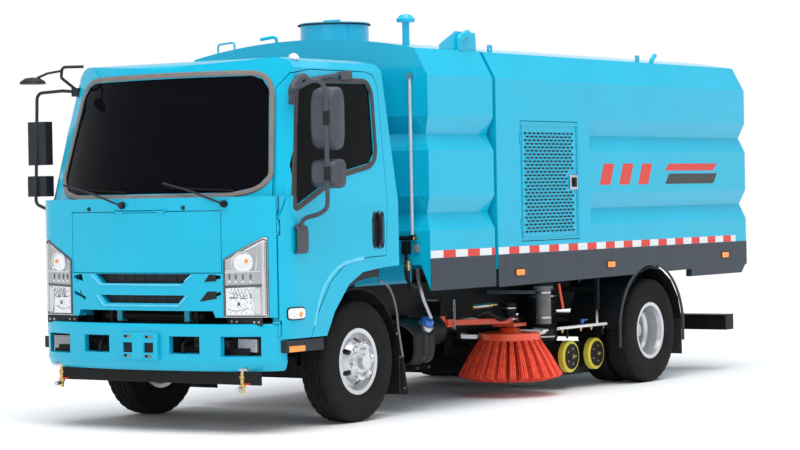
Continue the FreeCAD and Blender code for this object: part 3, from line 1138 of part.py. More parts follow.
def cab():
    """The cab: shell, lid, doors, glass, lamps, grille, trim and the inside."""
    outer = cab_form("cab_outer", 0)
    inner = cab_form("cab_inner", CAB_WALL, inside=True)
    pane_out = cab_form("cab_pane_out", PANE_SINK)
    pane_in = cab_form("cab_pane_in", PANE_SINK + PANE)
    reach = CAB_HALF + 50
    solid = cut("cab_hollow", outer, inner)
    sheet_form = cut("cab_glass_sheet", pane_out, pane_in)

    tunnel = slab("cab_tunnel", (-560, 560), (CAB_NOSE + 92, CAB_BACK + 20), (0, CAB_FLOOR - 40))
    bay = slab("cab_bay", (-LID_HALF + 20, LID_HALF - 20), (CAB_NOSE + 92, CAB_NOSE + 150),
               (CAB_FLOOR - 45, LID_HIGH - 14))
    mouth = slab("lid_mouth", (-LID_HALF - SEAM, LID_HALF + SEAM), (CAB_NOSE - 60, CAB_NOSE + 96),
                 (LID_LOW - SEAM, LID_HIGH + SEAM))
    wells = [slab(f"step_well_{number}", x, (DOOR_FRONT + 60, FRONT_AXLE - 560),
                  (SILL_LOW + 30, CAB_FLOOR + 10))
             for number, x in enumerate(((620, CAB_HALF - CAB_WALL + 1), (-CAB_HALF + CAB_WALL - 1, -620)))]
    rear_hole = slab("rear_window_hole", (-560, 560), (CAB_BACK - 80, CAB_BACK + 20), (1560, 2120))
    screen = screen_region("screen_hole", 12, (CAB_NOSE - 80, -2700))
    holes = [door_region(f"door_hole_{number}", SEAM, x) for number, x in
             enumerate(((560, reach), (-reach, -560)))]
    lamp_holes = [lamp_region(f"lamp_hole_{number}", side, 4) for number, side in enumerate((1, -1))]
    apron_notch = pad("apron_notch", "xz", [(-590, 700), (-555, 782), (555, 782), (590, 700)],
                      (CAB_NOSE - 60, CAB_NOSE + 96))
    pocket = common("mesh_pocket", cab_form("mesh_pocket_form", CAB_WALL + 2), slab(
        "mesh_pocket_region", (-622, 622), (CAB_NOSE - 10, CAB_NOSE + 150), (812, 1020)))
    glass = common("screen_glass", sheet_form, screen_region("screen_pane", 2, (CAB_NOSE - 80, -2700)))
    lid_room = rod("front_lid_room", "x", (-222, 222), (CAB_NOSE + 4, LID_HIGH + 2), 12)
    shell = cut("cab_open", solid, tunnel, bay, mouth, wells, rear_hole, screen, holes, lamp_holes,
                grille_cuts(), pocket, glass, lid_room, apron_notch)
    hinges = [door_pins(word, side) for word, side in (("left", 1), ("right", -1))]
    notches = [rod(f"door_notch_{word}", "z", (SILL_LOW - 10, BELT + 15), (DOOR_PIN_X * side, DOOR_PIN),
                   14)
               for word, side in (("left", 1), ("right", -1))]
    lid_pin = rod("front_lid_pin", "x", (-216, 216), (CAB_NOSE + 4, LID_HIGH + 2), 4)
    lid_tabs = [slab(f"lid_tab_{number}", (x, x + 10), (CAB_NOSE, CAB_NOSE + 30),
                     (LID_HIGH + 3, LID_HIGH + 20))
                for number, x in enumerate((-216, -134, 124, 206))]
    cab_eyes = [slab(f"tilt_arm_{number}", (x, x + 40), (TILT_PLACE - 34, TILT_PLACE + 34),
                     (TILT_HEIGHT - 34, CAB_FLOOR - 20))
                for number, x in enumerate((RAIL_HALF - 113, -RAIL_HALF + 73))]
    bore = rod("tilt_bore", "x", (-RAIL_HALF - 60, RAIL_HALF + 60), (TILT_PLACE, TILT_HEIGHT), 24 + PIN_PLAY)
    whole = fuse("cab_solid", cut("cab_notched", shell, notches), hinges, lid_pin, lid_tabs, cab_eyes)
    node(cut("cab_whole", whole, bore), "cab_shell")

    rear = slab("rear_glass", (-556, 556), (CAB_BACK - 30, CAB_BACK - 24), (1564, 2116))
    node(group("cab_glass_all", glass, rear), "cab_glass")

    doors(outer, sheet_form, reach)
    front_lid(outer)
    headlamps(outer)
    grille_mesh()
    cab_trim(outer)
    cab_inside()


def door_pins(word, side):
    """The two fixed hinge pins of one door, each between two tabs on the pillar."""
    x, y = DOOR_PIN_X, DOOR_PIN
    plan = [((x + 6) * side, y + 3), ((x - 6) * side, y + 3), ((x - 30) * side, y - 30),
            ((x - 14) * side, y - 30)]
    pieces = []
    for number, z in enumerate(DOOR_HINGES):
        pieces.append(rod(f"door_pin_{word}_{number}", "z", (z - 18, z + 72), (x * side, y), 5))
        pieces.append(pad(f"door_tab_low_{word}_{number}", "xy", plan, (z - 18, z - 6)))
        pieces.append(pad(f"door_tab_high_{word}_{number}", "xy", plan, (z + 60, z + 72)))
    return pieces


def doors(outer, sheet_form, reach):
    """Both doors: leaf with its hinge barrels and handle, glass, and mirrors on their tubes."""
    for word, side in (("left", 1), ("right", -1)):
        span = (640, reach) if side > 0 else (-reach, -640)
        region = door_region(f"door_leaf_region_{word}", 0, span)
        skin = common(f"door_skin_{word}", cut(f"door_wall_{word}", outer, cab_form(
            f"door_inside_{word}", CAB_WALL)), region)
        window = window_region(f"door_window_{word}", 10, span)
        x = DOOR_PIN_X * side
        y = DOOR_PIN
        notch = [rod(f"leaf_notch_{word}_{number}", "z", (z - 24, z + 78), (x, y), 18)
                 for number, z in enumerate(DOOR_HINGES)]
        barrels = [rod(f"door_barrel_{word}_{number}", "z", (z, z + 54), (x, y), 9)
                   for number, z in enumerate(DOOR_HINGES)]
        links = [slab(f"door_link_{word}_{number}", sorted((x - 9 * side, x + 4 * side), key=val),
                      (y, y + 40), (z, z + 54)) for number, z in enumerate(DOOR_HINGES)]
        bore = rod(f"door_bore_{word}", "z", (SILL_LOW, BELT), (x, y), 5 + PIN_PLAY)
        pocket = slab(f"handle_pocket_{word}", sorted(((CAB_HALF - 30) * side, (CAB_HALF + 20) * side),
                                                      key=val), (-2085, -1965), (1150, 1385))
        bar = slab(f"handle_bar_{word}", sorted(((CAB_HALF - 12) * side, CAB_HALF * side), key=val),
                   (-2030, -2006), (1150, 1385))
        leaf = fuse(f"door_solid_{word}", cut(f"door_cut_{word}", skin, window, notch, pocket), barrels,
                    links, bar)
        pane = common(f"door_pane_{word}", sheet_form, window_region(f"door_pane_region_{word}", 0, span))
        node(cut(f"door_whole_{word}", leaf, bore, pane), f"cab_door_{word}")
        node(pane, f"door_glass_{word}")
        mirrors(word, side, outer)


def mirrors(word, side, outer):
    """One door's mirror tube with its two mirrors, its feet, and on the right a front mirror."""
    def at(x, y, z):
        """A place on this side."""
        return (x * side, y, z)
    tube = pipe(f"mirror_tube_{word}", [at(990, -2905, 1330), at(1060, -2925, 1430), at(1200, -2920, 1480),
                                        at(1196, -2892, 2235), at(1000, -2850, 2246), at(905, -2810, 2236)],
                11, 45)
    foot = slab(f"mirror_foot_{word}", sorted((side * 985, side * 1026)), (-2960, -2850), (1200, 1345))
    top = slab(f"mirror_top_{word}", sorted((side * 880, side * 940)), (-2830, -2770), (2205, 2262))
    big = slab(f"mirror_big_{word}", sorted((side * 1115, side * 1275)), (-2905, -2835), (1745, 2040))
    small = slab(f"mirror_small_{word}", sorted((side * 1115, side * 1285)), (-2905, -2830), (1530, 1670))
    pieces = [tube, foot, top, big, small]
    if side < 0:
        frame = pipe("front_mirror_frame", [(-905, -2800, 2240), (-940, -2930, 2330), (-905, -2960, 2400),
                                            (-800, -2860, 2402)], 10, 30)
        stalk = pipe("front_mirror_stalk", [(-925, -2950, 2375), (-990, -3010, 2360),
                                            (-1060, -3040, 2330)], 8, 20)
        face = turned("front_mirror_face", "z", [(0, 0), (0, 90), (18, 84), (40, 50), (46, 0)],
                      (-1090, -3050, 2290))
        pieces += [frame, stalk, face]
    node(cut(f"mirrors_{word}_whole", fuse(f"mirrors_{word}_solid", pieces), outer), f"mirrors_{word}")


def front_lid(outer):
    """The service lid across the nose, with its hinge barrels."""
    thin = cut("lid_sheet", outer, cab_form("lid_inside", 22))
    leaf = common("lid_leaf", thin, slab("lid_region", (-LID_HALF, LID_HALF), (CAB_NOSE - 60, CAB_NOSE + 96),
                                         (LID_LOW, LID_HIGH)))
    barrels = [rod(f"lid_barrel_{number}", "x", (x, x + 60), (CAB_NOSE + 4, LID_HIGH + 2), 7)
               for number, x in enumerate((-200, 140))]
    links = [slab(f"lid_link_{number}", (x, x + 60), (CAB_NOSE + 2, CAB_NOSE + 12),
                  (LID_HIGH - 20, LID_HIGH + 2))
             for number, x in enumerate((-200, 140))]
    notch = rod("lid_notch", "x", (-222, 222), (CAB_NOSE + 4, LID_HIGH + 2), 9)
    bore = rod("lid_pin_bore", "x", (-400, 400), (CAB_NOSE + 4, LID_HIGH + 2), 4 + PIN_PLAY)
    node(cut("front_lid_whole", fuse("front_lid_solid", cut("lid_cut", leaf, notch), barrels, links), bore),
         "front_lid")


def grille_cuts():
    """The two air openings across the nose, with a small one at each end."""
    y = (CAB_NOSE - 60, CAB_NOSE + 96)
    upper = pad("grille_upper", "xz", [(-400, 1018), (400, 1018), (335, 957), (-335, 957)], y)
    lower = pad("grille_lower", "xz", [(-352, 881), (352, 881), (300, 829), (-300, 829)], y)
    ends = []
    for word, side in (("left", 1), ("right", -1)):
        ends.append(pad(f"grille_end_{word}", "xz", [
            (side * 536, 1016), (side * 614, 1006), (side * 614, 988), (side * 522, 968)], y))
        ends.append(pad(f"grille_low_end_{word}", "xz", [
            (side * 500, 866), (side * 614, 908), (side * 614, 884), (side * 494, 849)], y))
    return [upper, lower, ends]


def grille_mesh():
    """A black mesh panel behind the openings."""
    sheet_form = cut("mesh_sheet", cab_form("mesh_out", CAB_WALL + 2), cab_form("mesh_in", CAB_WALL + 8))
    node(common("grille_panel", sheet_form, slab("mesh_region", (-622, 622), (CAB_NOSE, CAB_NOSE + 140),
                                                 (812, 1020))), "grille_mesh")


def lamp_region(label, side, grow):
    """A headlamp's outline seen from the front, with its top rising outwards, grown by a gap."""
    low = APRON_LOW + 2 - grow * 5
    return pad(label, "xz", [
        ((LAMP_IN - grow) * side, low), ((LAMP_OUT + grow) * side, low),
        ((LAMP_OUT + grow) * side, LAMP_HIGH + grow), ((LAMP_OUT - 22) * side, LAMP_HIGH + grow),
        ((LAMP_IN - grow) * side, LAMP_MID + grow),
    ], (CAB_NOSE - 60, CAB_NOSE + 190))


def headlamps(outer):
    """Tall corner lamps that follow the cab's corner."""
    shape = cut("lamp_sheet", outer, cab_form("lamp_inside", 70))
    lamps = [common(f"lamp_{number}", shape, lamp_region(f"lamp_outline_{number}", side, 0))
             for number, side in enumerate((1, -1))]
    node(group("headlamps_all", lamps), "headlamps")


def cab_trim(outer):
    """Black steps under the doors, wiper arms and the roof lamp."""
    step = fuse("step_and_wall", slab("step_tread", (560, CAB_HALF - 6), (DOOR_FRONT + 10, FRONT_AXLE - 500),
                                      (515, SILL_LOW - 10)),
                slab("step_wall", (560, 568), (DOOR_FRONT + 80, FRONT_AXLE - 650), (515, CAB_FLOOR)))
    steps = [step, mirrored("step_and_wall_right", step)]
    wipers = []
    for number, x in enumerate((-140, 650)):
        y = CAB_NOSE if number == 0 else CAB_NOSE + 62
        hub = rod(f"wiper_hub_{number}", "y", (y - 30, y + 10), (x, 1462), 16)
        wipers.append(fuse(f"wiper_{number}", hub,
                           pipe(f"wiper_arm_{number}", [(x, val(y) - 24, 1462), (x - 240, val(y) - 34, 1545),
                                                        (x - 470, val(y) - 34, 1600)], 7, 30)))
    lamp = turned("roof_lamp", "z", [(0, 0), (0, 26), (16, 22), (26, 10), (28, 0)], (842, -2700, 2366))
    above = [cut(f"trim_on_cab_{number}", piece, outer) for number, piece in enumerate(wipers + [lamp])]
    node(group("cab_trim_all", steps, above), "cab_trim")


def cab_inside():
    """Dash, steering wheel on its column, and three seats."""
    dash = pad("dash_form", "yz", [
        (CAB_NOSE + 180, 1000), (CAB_NOSE + 180, 1420), (-2900, 1430), (-2790, 1330), (-2820, 1180),
        (-2960, 1000),
    ], (-840, 840))
    column = pipe("steering_column", [(-450, -2960, 1150), (-450, -2760, 1330), (-450, -2700, 1390)], 24, 60)
    ring = doc.addObject("Part::Torus", "steering_ring")
    bind(ring, "Radius1", 205)
    bind(ring, "Radius2", 14)
    place(ring, -450, -2690, 1400, Rotation(Vector(1, 0, 0), 40))
    spokes = doc.addObject("Part::Box", "steering_spoke")
    for prop, amount in (("Length", 400), ("Width", 36), ("Height", 14)):
        bind(spokes, prop, amount)
    spokes.Placement = Placement(Vector(-450, -2690, 1400), Rotation(Vector(1, 0, 0), 40)).multiply(
        Placement(Vector(-200, -18, -7), Rotation()))
    seats = []
    for number, x in enumerate((-450, 80, 520)):
        wide = 240 if number == 0 else 205
        seats.append(fuse(f"seat_{number}", slab(f"seat_base_{number}", (x - wide, x + wide), (-2420, -1940),
                                                 (SEAT_FLOOR, 1300)),
                          pad(f"seat_back_{number}", "yz", [(-1990, 1280), (-1860, 1880), (-1960, 1880),
                                                            (-2090, 1280)], (x - wide, x + wide)),
                          slab(f"seat_head_{number}", (x - 120, x + 120), (-1950, -1870), (1900, 2060)),
                          slab(f"seat_post_{number}", (x - 20, x + 20), (-1925, -1895), (1860, 1910))))
    node(group("cab_inside_all", fuse("dash_whole", dash, column, ring, spokes), seats), "cab_inside")


cab()


# ---------------------------------------------------------------- sweeping gear

def side_brush(side, name):
    """One side brush: swing post on the rail bracket, lowering arm with its motor, tufted disc."""
    x, y = BRUSH_PIVOT_SIDE, BRUSH_PIVOT
    arm_z = BRUSH_TOP + 60
    hub = rod(f"post_hub_{name}", "z", (arm_z - 40, arm_z + 60), (x, y), 42)
    fork = [slab(f"post_fork_{name}_{number}", (left, left + 14), (y + 30, LIFT_PIVOT + 24),
                 (arm_z - 22, arm_z + 34)) for number, left in enumerate((x - 52, x + 38))]
    bridge = slab(f"post_bridge_{name}", (x - 52, x + 52), (y + 24, y + 50), (arm_z - 22, arm_z + 34))
    pin = rod(f"post_pin_{name}", "x", (x - 52, x + 52), (LIFT_PIVOT, arm_z + 6), 12)
    hole = rod(f"post_hole_{name}", "z", (arm_z - 80, arm_z + 80), (x, y), 20 + PIN_PLAY)
    post = cut(f"brush_post_whole_{name}", fuse(f"brush_post_solid_{name}", hub, fork, bridge, pin), hole)
    node(post if side > 0 else mirrored(f"brush_post_twin_{name}", post), f"brush_post_{name}")

    eye = rod(f"lift_eye_{name}", "x", (x - 30, x + 30), (LIFT_PIVOT, arm_z + 6), 26)
    bore = rod(f"lift_bore_{name}", "x", (x - 60, x + 60), (LIFT_PIVOT, arm_z + 6), 12 + PIN_PLAY)
    beam = pad(f"arm_beam_{name}", "xy", [
        (x - 30, LIFT_PIVOT + 8), (x + 30, LIFT_PIVOT + 8), (x + 30, LIFT_PIVOT + 30),
        (BRUSH_SIDE + 46, BRUSH_PLACE - 90),
        (BRUSH_SIDE + 46, BRUSH_PLACE + 50), (BRUSH_SIDE - 46, BRUSH_PLACE + 50),
        (BRUSH_SIDE - 46, BRUSH_PLACE - 60),
    ], (arm_z - 14, arm_z + 26))
    plate = slab(f"arm_plate_{name}", (BRUSH_SIDE - 90, BRUSH_SIDE + 90),
                 (BRUSH_PLACE - 90, BRUSH_PLACE + 90), (BRUSH_TOP + 22, BRUSH_TOP + 46))
    motor = rod(f"brush_motor_{name}", "z", (BRUSH_TOP + 30, BRUSH_TOP + 190), (BRUSH_SIDE, BRUSH_PLACE), 52)
    shaft = rod(f"brush_shaft_{name}", "z", (BRUSH_TOP - 40, BRUSH_TOP + 40), (BRUSH_SIDE, BRUSH_PLACE), 17)
    arm = cut(f"brush_arm_whole_{name}", fuse(f"brush_arm_solid_{name}", eye, beam, plate, motor, shaft),
              bore)
    node(arm if side > 0 else mirrored(f"brush_arm_twin_{name}", arm), f"brush_arm_{name}")

    disc = rod(f"brush_disc_{name}", "z", (TUFT_ROOT - 16, BRUSH_TOP), (BRUSH_SIDE, BRUSH_PLACE), BRUSH_DISC)
    socket = rod(f"brush_socket_{name}", "z", (BRUSH_TOP - 60, BRUSH_TOP + 14), (BRUSH_SIDE, BRUSH_PLACE), 34)
    tuft = doc.addObject("PartDesign::Body", f"brush_tuft_{name}")
    sketch = outline(tuft, "XZ_Plane", [
        (BRUSH_DISC - 60, TUFT_ROOT), (BRUSH_DISC - 10, TUFT_ROOT), (BRUSH_RADIUS, BRUSH_LOW + 30),
        (BRUSH_RADIUS - 60, BRUSH_LOW),
    ], -34)
    feature = tuft.newObject("PartDesign::Pad", f"brush_tuft_{name}_pad")
    feature.Profile = sketch
    bind(feature, "Length", 68)
    fan = tuft.newObject("PartDesign::PolarPattern", f"brush_tufts_{name}")
    fan.Originals = [feature]
    fan.Axis = (next(item for item in tuft.Origin.OriginFeatures if item.Role == "Z_Axis"), [""])
    fan.Angle = 360
    fan.Occurrences = TUFTS
    tuft.Tip = fan
    place(tuft, BRUSH_SIDE, BRUSH_PLACE, 0)
    eye = rod(f"brush_eye_{name}", "z", (BRUSH_TOP - 80, BRUSH_TOP + 20), (BRUSH_SIDE, BRUSH_PLACE),
              17 + PIN_PLAY)
    brush = cut(f"side_brush_whole_{name}", fuse(f"side_brush_solid_{name}", disc, socket, tuft), eye)
    node(brush if side > 0 else mirrored(f"side_brush_twin_{name}", brush), f"side_brush_{name}")


def brush_brackets():
    """The brackets on the rails that carry both arms' pins."""
    x, y = BRUSH_PIVOT_SIDE, BRUSH_PIVOT
    arm_z = BRUSH_TOP + 60
    pin = rod("bracket_pin", "z", (arm_z - 60, RAIL_TOP - 90), (x, y), 20)
    head = slab("bracket_head", (RAIL_HALF, x + 40), (y - 50, y + 50), (arm_z + 66, RAIL_TOP - 60))
    lip = rod("bracket_collar", "z", (arm_z - 66, arm_z - 46), (x, y), 36)
    node(both("brush_brackets_all", fuse("bracket_whole", pin, head, lip)), "brush_brackets")


def nozzle():
    """The suction nozzle: an open-bottomed hood with its outlet, rubber skirts and pull arms."""
    front, rear = NOZZLE_FRONT - 60, NOZZLE_REAR + 40
    low, high = NOZZLE_AXLE - 150, NOZZLE_AXLE + 90
    hood = slab("nozzle_hood", (-NOZZLE_HALF, NOZZLE_HALF), (front, rear), (low, high))
    room = slab("nozzle_room", (-NOZZLE_HALF + 8, NOZZLE_HALF - 8), (front + 8, rear - 8),
                (low - 10, high - 8))
    collar = rod("nozzle_collar", "z", (high - 4, high + 60), (HOSE_X, HOSE_PLACE), 100)
    throat = rod("nozzle_throat", "z", (high - 20, high + 70), (HOSE_X, HOSE_PLACE), 94)
    arms = [slab(f"pull_arm_{number}", (x, x + 30), (NOZZLE_HINGE_PLACE, front + 4),
                 (high - 60, high)) for number, x in enumerate((250, -280))]
    risers = [slab(f"pull_riser_{number}", (x, x + 30), (NOZZLE_HINGE_PLACE - 26, NOZZLE_HINGE_PLACE + 40),
                   (high - 60, NOZZLE_HINGE_HEIGHT + 26)) for number, x in enumerate((250, -280))]
    bore = rod("pull_bore", "x", (-300, 300), (NOZZLE_HINGE_PLACE, NOZZLE_HINGE_HEIGHT), 14 + PIN_PLAY)
    brackets = [slab(f"wheel_bracket_{number}", x, (y - 20, y + 20), (NOZZLE_AXLE - 26, NOZZLE_AXLE + 60))
                for number, (x, y) in enumerate(((x, y) for y in (NOZZLE_FRONT, NOZZLE_REAR)
                                                 for x in ((NOZZLE_HALF - 12, NOZZLE_SIDE - 34),
                                                           (-NOZZLE_SIDE + 34, -NOZZLE_HALF + 12))))]
    bores = [rod(f"nozzle_axle_bore_{number}", "x", (-NOZZLE_SIDE, NOZZLE_SIDE), (y, NOZZLE_AXLE),
                 12 + PIN_PLAY)
             for number, y in enumerate((NOZZLE_FRONT, NOZZLE_REAR))]
    solid = fuse("nozzle_solid", cut("nozzle_shell", hood, room), collar, arms, risers, brackets)
    node(cut("nozzle_whole", solid, throat, bore, bores), "suction_nozzle")
    for name, y in (("front", NOZZLE_FRONT), ("rear", NOZZLE_REAR)):
        axle = rod(f"nozzle_axle_{name}", "x", (-NOZZLE_SIDE - 30, NOZZLE_SIDE + 30), (y, NOZZLE_AXLE), 12)
        wheels = [turned(f"nozzle_wheel_{name}_{number}", "x", [
            (-26, 12), (-26, 34), (-16, 44), (-16, 84), (-27, 88), (-27, NOZZLE_WHEEL - 8),
            (-19, NOZZLE_WHEEL), (19, NOZZLE_WHEEL), (27, NOZZLE_WHEEL - 8), (27, 88), (16, 84), (16, 44),
            (26, 34), (26, 12)], (x, y, NOZZLE_AXLE)) for number, x in
            enumerate((NOZZLE_SIDE, -NOZZLE_SIDE))]
        node(fuse(f"nozzle_wheels_{name}_whole", axle, wheels), f"nozzle_wheels_{name}")


def suction_line():
    """The corrugated suction hose from the nozzle up to the body, and the grey pipe beside it."""
    bottom = NOZZLE_AXLE + 180
    top = HOPPER_FLOOR - GAP - 4
    count = 12
    step = (top - bottom) / count
    wave = []
    for number in range(count):
        wave += [(step * number, 114), (step * (number + 0.5), 126)]
    hose = turned("suction_hose_form", "z", [(-65, 124)] + [(-5, 124)] + wave[1:] + [
        (step * count, 114), (step * count, 106), (0, 106), (-8, 118), (-65, 118)],
        (HOSE_X, HOSE_PLACE, bottom))
    clamp = slab("hose_clamp", (RAIL_HALF, HOSE_X - 100), (HOSE_PLACE - 25, HOSE_PLACE + 25), (690, 730))
    riser = rod("grey_pipe", "z", (520, 790), (860, 340), 55)
    flange = rod("grey_pipe_flange", "z", (780, 800), (860, 340), 72)
    stay = slab("grey_pipe_stay", (RAIL_HALF, 860), (320, 360), (740, 766))
    pipe_whole = fuse("grey_pipe_whole", riser, flange, stay)
    node(group("suction_line_all", fuse("hose_whole", hose, clamp), pipe_whole), "suction_line")


def spray_bars():
    """The front spray bar with its nozzles and valves, and the white bars in front of the nozzle."""
    line = BUMPER_NOSE + 114
    front = rod("front_bar", "x", (-800, 800), (line, BUMPER_LOW + 15), 14)
    stays = [slab(f"front_bar_stay_{number}", (x, x + 20), (line, line + 16),
                  (BUMPER_LOW + 15, BUMPER_LOW + 100))
             for number, x in enumerate((500, -520))]
    jets = []
    for number, x in enumerate((-758, 758)):
        jets.append(rod(f"front_jet_{number}", "z", (270, BUMPER_LOW + 15), (x, line), 11))
        jets.append(cone(f"front_jet_tip_{number}", "y", (line - 59, line), (x, 290), (16, 10)))
        jets.append(slab(f"front_jet_tap_{number}", (x - 6, x + 44), (line - 6, line + 6), (316, 326)))
    side = rod("side_bar", "y", (430, 1150), (930, 478), 13)
    drops = [rod(f"side_drop_{number}", "z", (400, 480), (930, y), 9) for number, y in enumerate((560, 1090))]
    riser = rod("side_riser", "z", (470, 640), (930, 1010), 9)
    post = slab("side_post", (915, 945), (1000, 1030), (600, 840))
    hanger = slab("side_hanger", (RAIL_HALF, 930), (1000, 1030), (735, 765))
    node(group("spray_bars_all", fuse("front_spray_whole", front, stays, jets),
               fuse("side_spray_whole", side, drops, riser, post, hanger),
               mirrored("side_spray_twin", doc.getObject("side_spray_whole"))), "spray_bars")


for way, word in ((1, "left"), (-1, "right")):
    side_brush(way, word)
brush_brackets()
nozzle()
suction_line()
spray_bars()


def finish():
    """Rebuild, look for failures, and write every sub-part to its own file."""
    doc.recompute()
    bad = [item.Label for item in doc.Objects if {"Invalid", "Error"} & set(item.State)]
    if bad:
        raise RuntimeError("these objects failed: " + ", ".join(bad))
    os.makedirs("parts", exist_ok=True)
    for piece in nodes:
        if piece.Shape.isNull() or not piece.Shape.isValid():
            raise RuntimeError(f"{piece.Label} has no valid shape")
    for piece in nodes:
        piece.Shape.exportStep(f"parts/{piece.Label}.step")
        print(piece.Label, len(piece.Shape.Solids), round(piece.Shape.Volume / 1e9, 4))


finish()
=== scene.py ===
"""Looks of the street sweeper truck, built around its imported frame.

Metres, in the frame's own axes: +X to the truck's left, +Y to its rear, +Z up.
"""
import math
import random

import bmesh
import bpy
from mathutils import Matrix, Vector
from mathutils.bvhtree import BVHTree


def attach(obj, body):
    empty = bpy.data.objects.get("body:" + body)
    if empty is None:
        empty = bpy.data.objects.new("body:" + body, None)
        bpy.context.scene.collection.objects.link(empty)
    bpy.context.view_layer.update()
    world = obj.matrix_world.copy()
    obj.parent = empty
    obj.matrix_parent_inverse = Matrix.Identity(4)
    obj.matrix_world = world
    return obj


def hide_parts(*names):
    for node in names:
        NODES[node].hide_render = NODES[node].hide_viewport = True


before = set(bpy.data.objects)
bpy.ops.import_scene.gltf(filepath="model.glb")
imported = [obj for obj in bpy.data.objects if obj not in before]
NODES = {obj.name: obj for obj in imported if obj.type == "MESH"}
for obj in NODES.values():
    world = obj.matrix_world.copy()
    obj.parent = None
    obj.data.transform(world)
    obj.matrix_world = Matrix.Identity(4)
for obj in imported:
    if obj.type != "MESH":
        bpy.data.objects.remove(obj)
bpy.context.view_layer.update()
SIDES = (("left", 1), ("right", -1))
TAU = math.tau
X, Y, Z = Vector((1, 0, 0)), Vector((0, 1, 0)), Vector((0, 0, 1))
MIRROR_X = Matrix.Scale(-1, 4, X)
TOUCH = 1e-6

WHEEL_RADIUS = 0.4025
FRONT_AXLE = -2.160
REAR_AXLE = 1.655
BRUSH = (0.700, 0.116)


# ---------------------------------------------------------------- materials

def wire(links, node, values):
    """Set a node's sockets to numbers, or join them to other nodes' outputs."""
    for socket, value in values.items():
        if isinstance(value, bpy.types.NodeSocket):
            links.new(value, node.inputs[socket])
        else:
            node.inputs[socket].default_value = value
    return node


def material(name, colour, rough=0.5, metal=0.0, coat=0.0, coat_rough=0.06, spec=0.5, vary=0.08,
             scale=6.0, stretch=(1, 1, 1), bump=0.0, bump_scale=60.0, rough_vary=0.08, alpha=1.0,
             ground_tint=None, ground_tint_low=0.2, ground_tint_high=0.9, emission=0.0):
    """A node material: its colour drifts with noise, its roughness and bump have their own grain,
    and a blotchy tint gathers towards the ground where it is asked for."""
    mat = bpy.data.materials.new(name)
    mat.use_nodes = True
    nodes, links = mat.node_tree.nodes, mat.node_tree.links
    shader = nodes["Principled BSDF"]

    def add(kind, values):
        return wire(links, nodes.new("ShaderNode" + kind), values).outputs

    coords = nodes.new("ShaderNodeTexCoord").outputs["Object"]
    spread = add("Mapping", {"Scale": stretch, "Vector": coords})["Vector"]
    noise = add("TexNoise", {"Scale": scale, "Detail": 5, "Vector": spread})["Fac"]
    ramp = nodes.new("ShaderNodeValToRGB")
    for stop, place, share in zip(ramp.color_ramp.elements, (0.3, 0.7), (1 - vary, 1 + vary)):
        stop.position = place
        stop.color = (*[min(1.0, max(0.0, c * share)) for c in colour], 1)
    links.new(noise, ramp.inputs["Fac"])
    tint = ramp.outputs["Color"]
    # the ground tint is dust on the black parts, tyres and flaps, and a darker blue on the blue paint
    if ground_tint:
        height = add("SeparateXYZ", {"Vector": coords})["Z"]
        fade = add("MapRange", {"From Min": ground_tint_high, "From Max": ground_tint_low, "Value": height})["Result"]
        blotches = add("TexNoise", {"Scale": 9, "Detail": 8, "Vector": coords})["Fac"]
        amount = nodes.new("ShaderNodeMath")
        amount.operation = "MULTIPLY"
        wire(links, amount, {0: fade, 1: blotches})
        mix = nodes.new("ShaderNodeMix")
        mix.data_type = "RGBA"
        wire(links, mix, {"Factor": amount.outputs["Value"], "A": tint, "B": (*ground_tint, 1)})
        tint = mix.outputs["Result"]
    if rough_vary:
        rough = add("MapRange", {"To Min": max(0.0, rough - rough_vary),
                                 "To Max": min(1.0, rough + rough_vary), "Value": noise})["Result"]
    wire(links, shader, {"Base Color": tint, "Roughness": rough, "Metallic": metal,
                         "Specular IOR Level": spec, "Coat Weight": coat,
                         "Coat Roughness": coat_rough, "Alpha": alpha})
    if emission:
        wire(links, shader, {"Emission Color": (*colour, 1), "Emission Strength": emission})
    if bump:
        grain = add("TexNoise", {"Scale": bump_scale, "Detail": 4, "Vector": spread})["Fac"]
        relief = add("Bump", {"Strength": bump, "Distance": 0.002, "Height": grain})["Normal"]
        links.new(relief, shader.inputs["Normal"])
    return mat


# the blue paint turns a darker, slightly greyer blue in blotches from 0.9 m down to 0.3 m
PAINT = material("paint_blue", (0.003, 0.440, 0.655), 0.3, coat=0.5, coat_rough=0.05, spec=0.1, vary=0.03,
                 scale=2.0, bump=0.02, bump_scale=300, rough_vary=0.03, ground_tint=(0.012, 0.37, 0.55),
                 ground_tint_low=0.3, ground_tint_high=0.9)
SKIRT = material("paint_dark_grey", (0.040, 0.052, 0.070), 0.42, metal=0.2, spec=0.25, vary=0.3, scale=3.0,
                 stretch=(60, 60, 0.6), bump=0.25, bump_scale=8, rough_vary=0.12)
BLACK = material("chassis_black", (0.008, 0.009, 0.011), 0.42, spec=0.12, vary=0.2, bump=0.15,
                 bump_scale=90, ground_tint=(0.02, 0.019, 0.017), ground_tint_low=0.1, ground_tint_high=1.0)
PLASTIC = material("black_plastic", (0.020, 0.023, 0.029), 0.5, spec=0.25, vary=0.15, bump=0.3,
                   bump_scale=500)
RUBBER = material("tyre_rubber", (0.010, 0.0098, 0.010), 0.75, spec=0.10, vary=0.25, scale=9, bump=0.35,
                  bump_scale=260, ground_tint=(0.026, 0.025, 0.023), ground_tint_low=-0.3, ground_tint_high=0.9)
SILVER = material("wheel_silver", (0.62, 0.63, 0.65), 0.3, metal=0.75, coat=0.3, vary=0.06, bump=0.05,
                  bump_scale=500)
ZINC = material("zinc_steel", (0.55, 0.56, 0.58), 0.32, metal=1.0, vary=0.12, scale=20)
CHROME = material("chrome", (0.85, 0.86, 0.88), 0.06, metal=1.0, vary=0.03, rough_vary=0.02)
BRASS = material("brass", (0.62, 0.44, 0.18), 0.3, metal=1.0, vary=0.12, scale=30)
IRON = material("engine_metal", (0.07, 0.072, 0.075), 0.6, metal=0.6, vary=0.25, scale=14, bump=0.3)
SPRING = material("spring_steel", (0.015, 0.015, 0.017), 0.5, spec=0.15, metal=0.3, vary=0.3, scale=20,
                  bump=0.2)
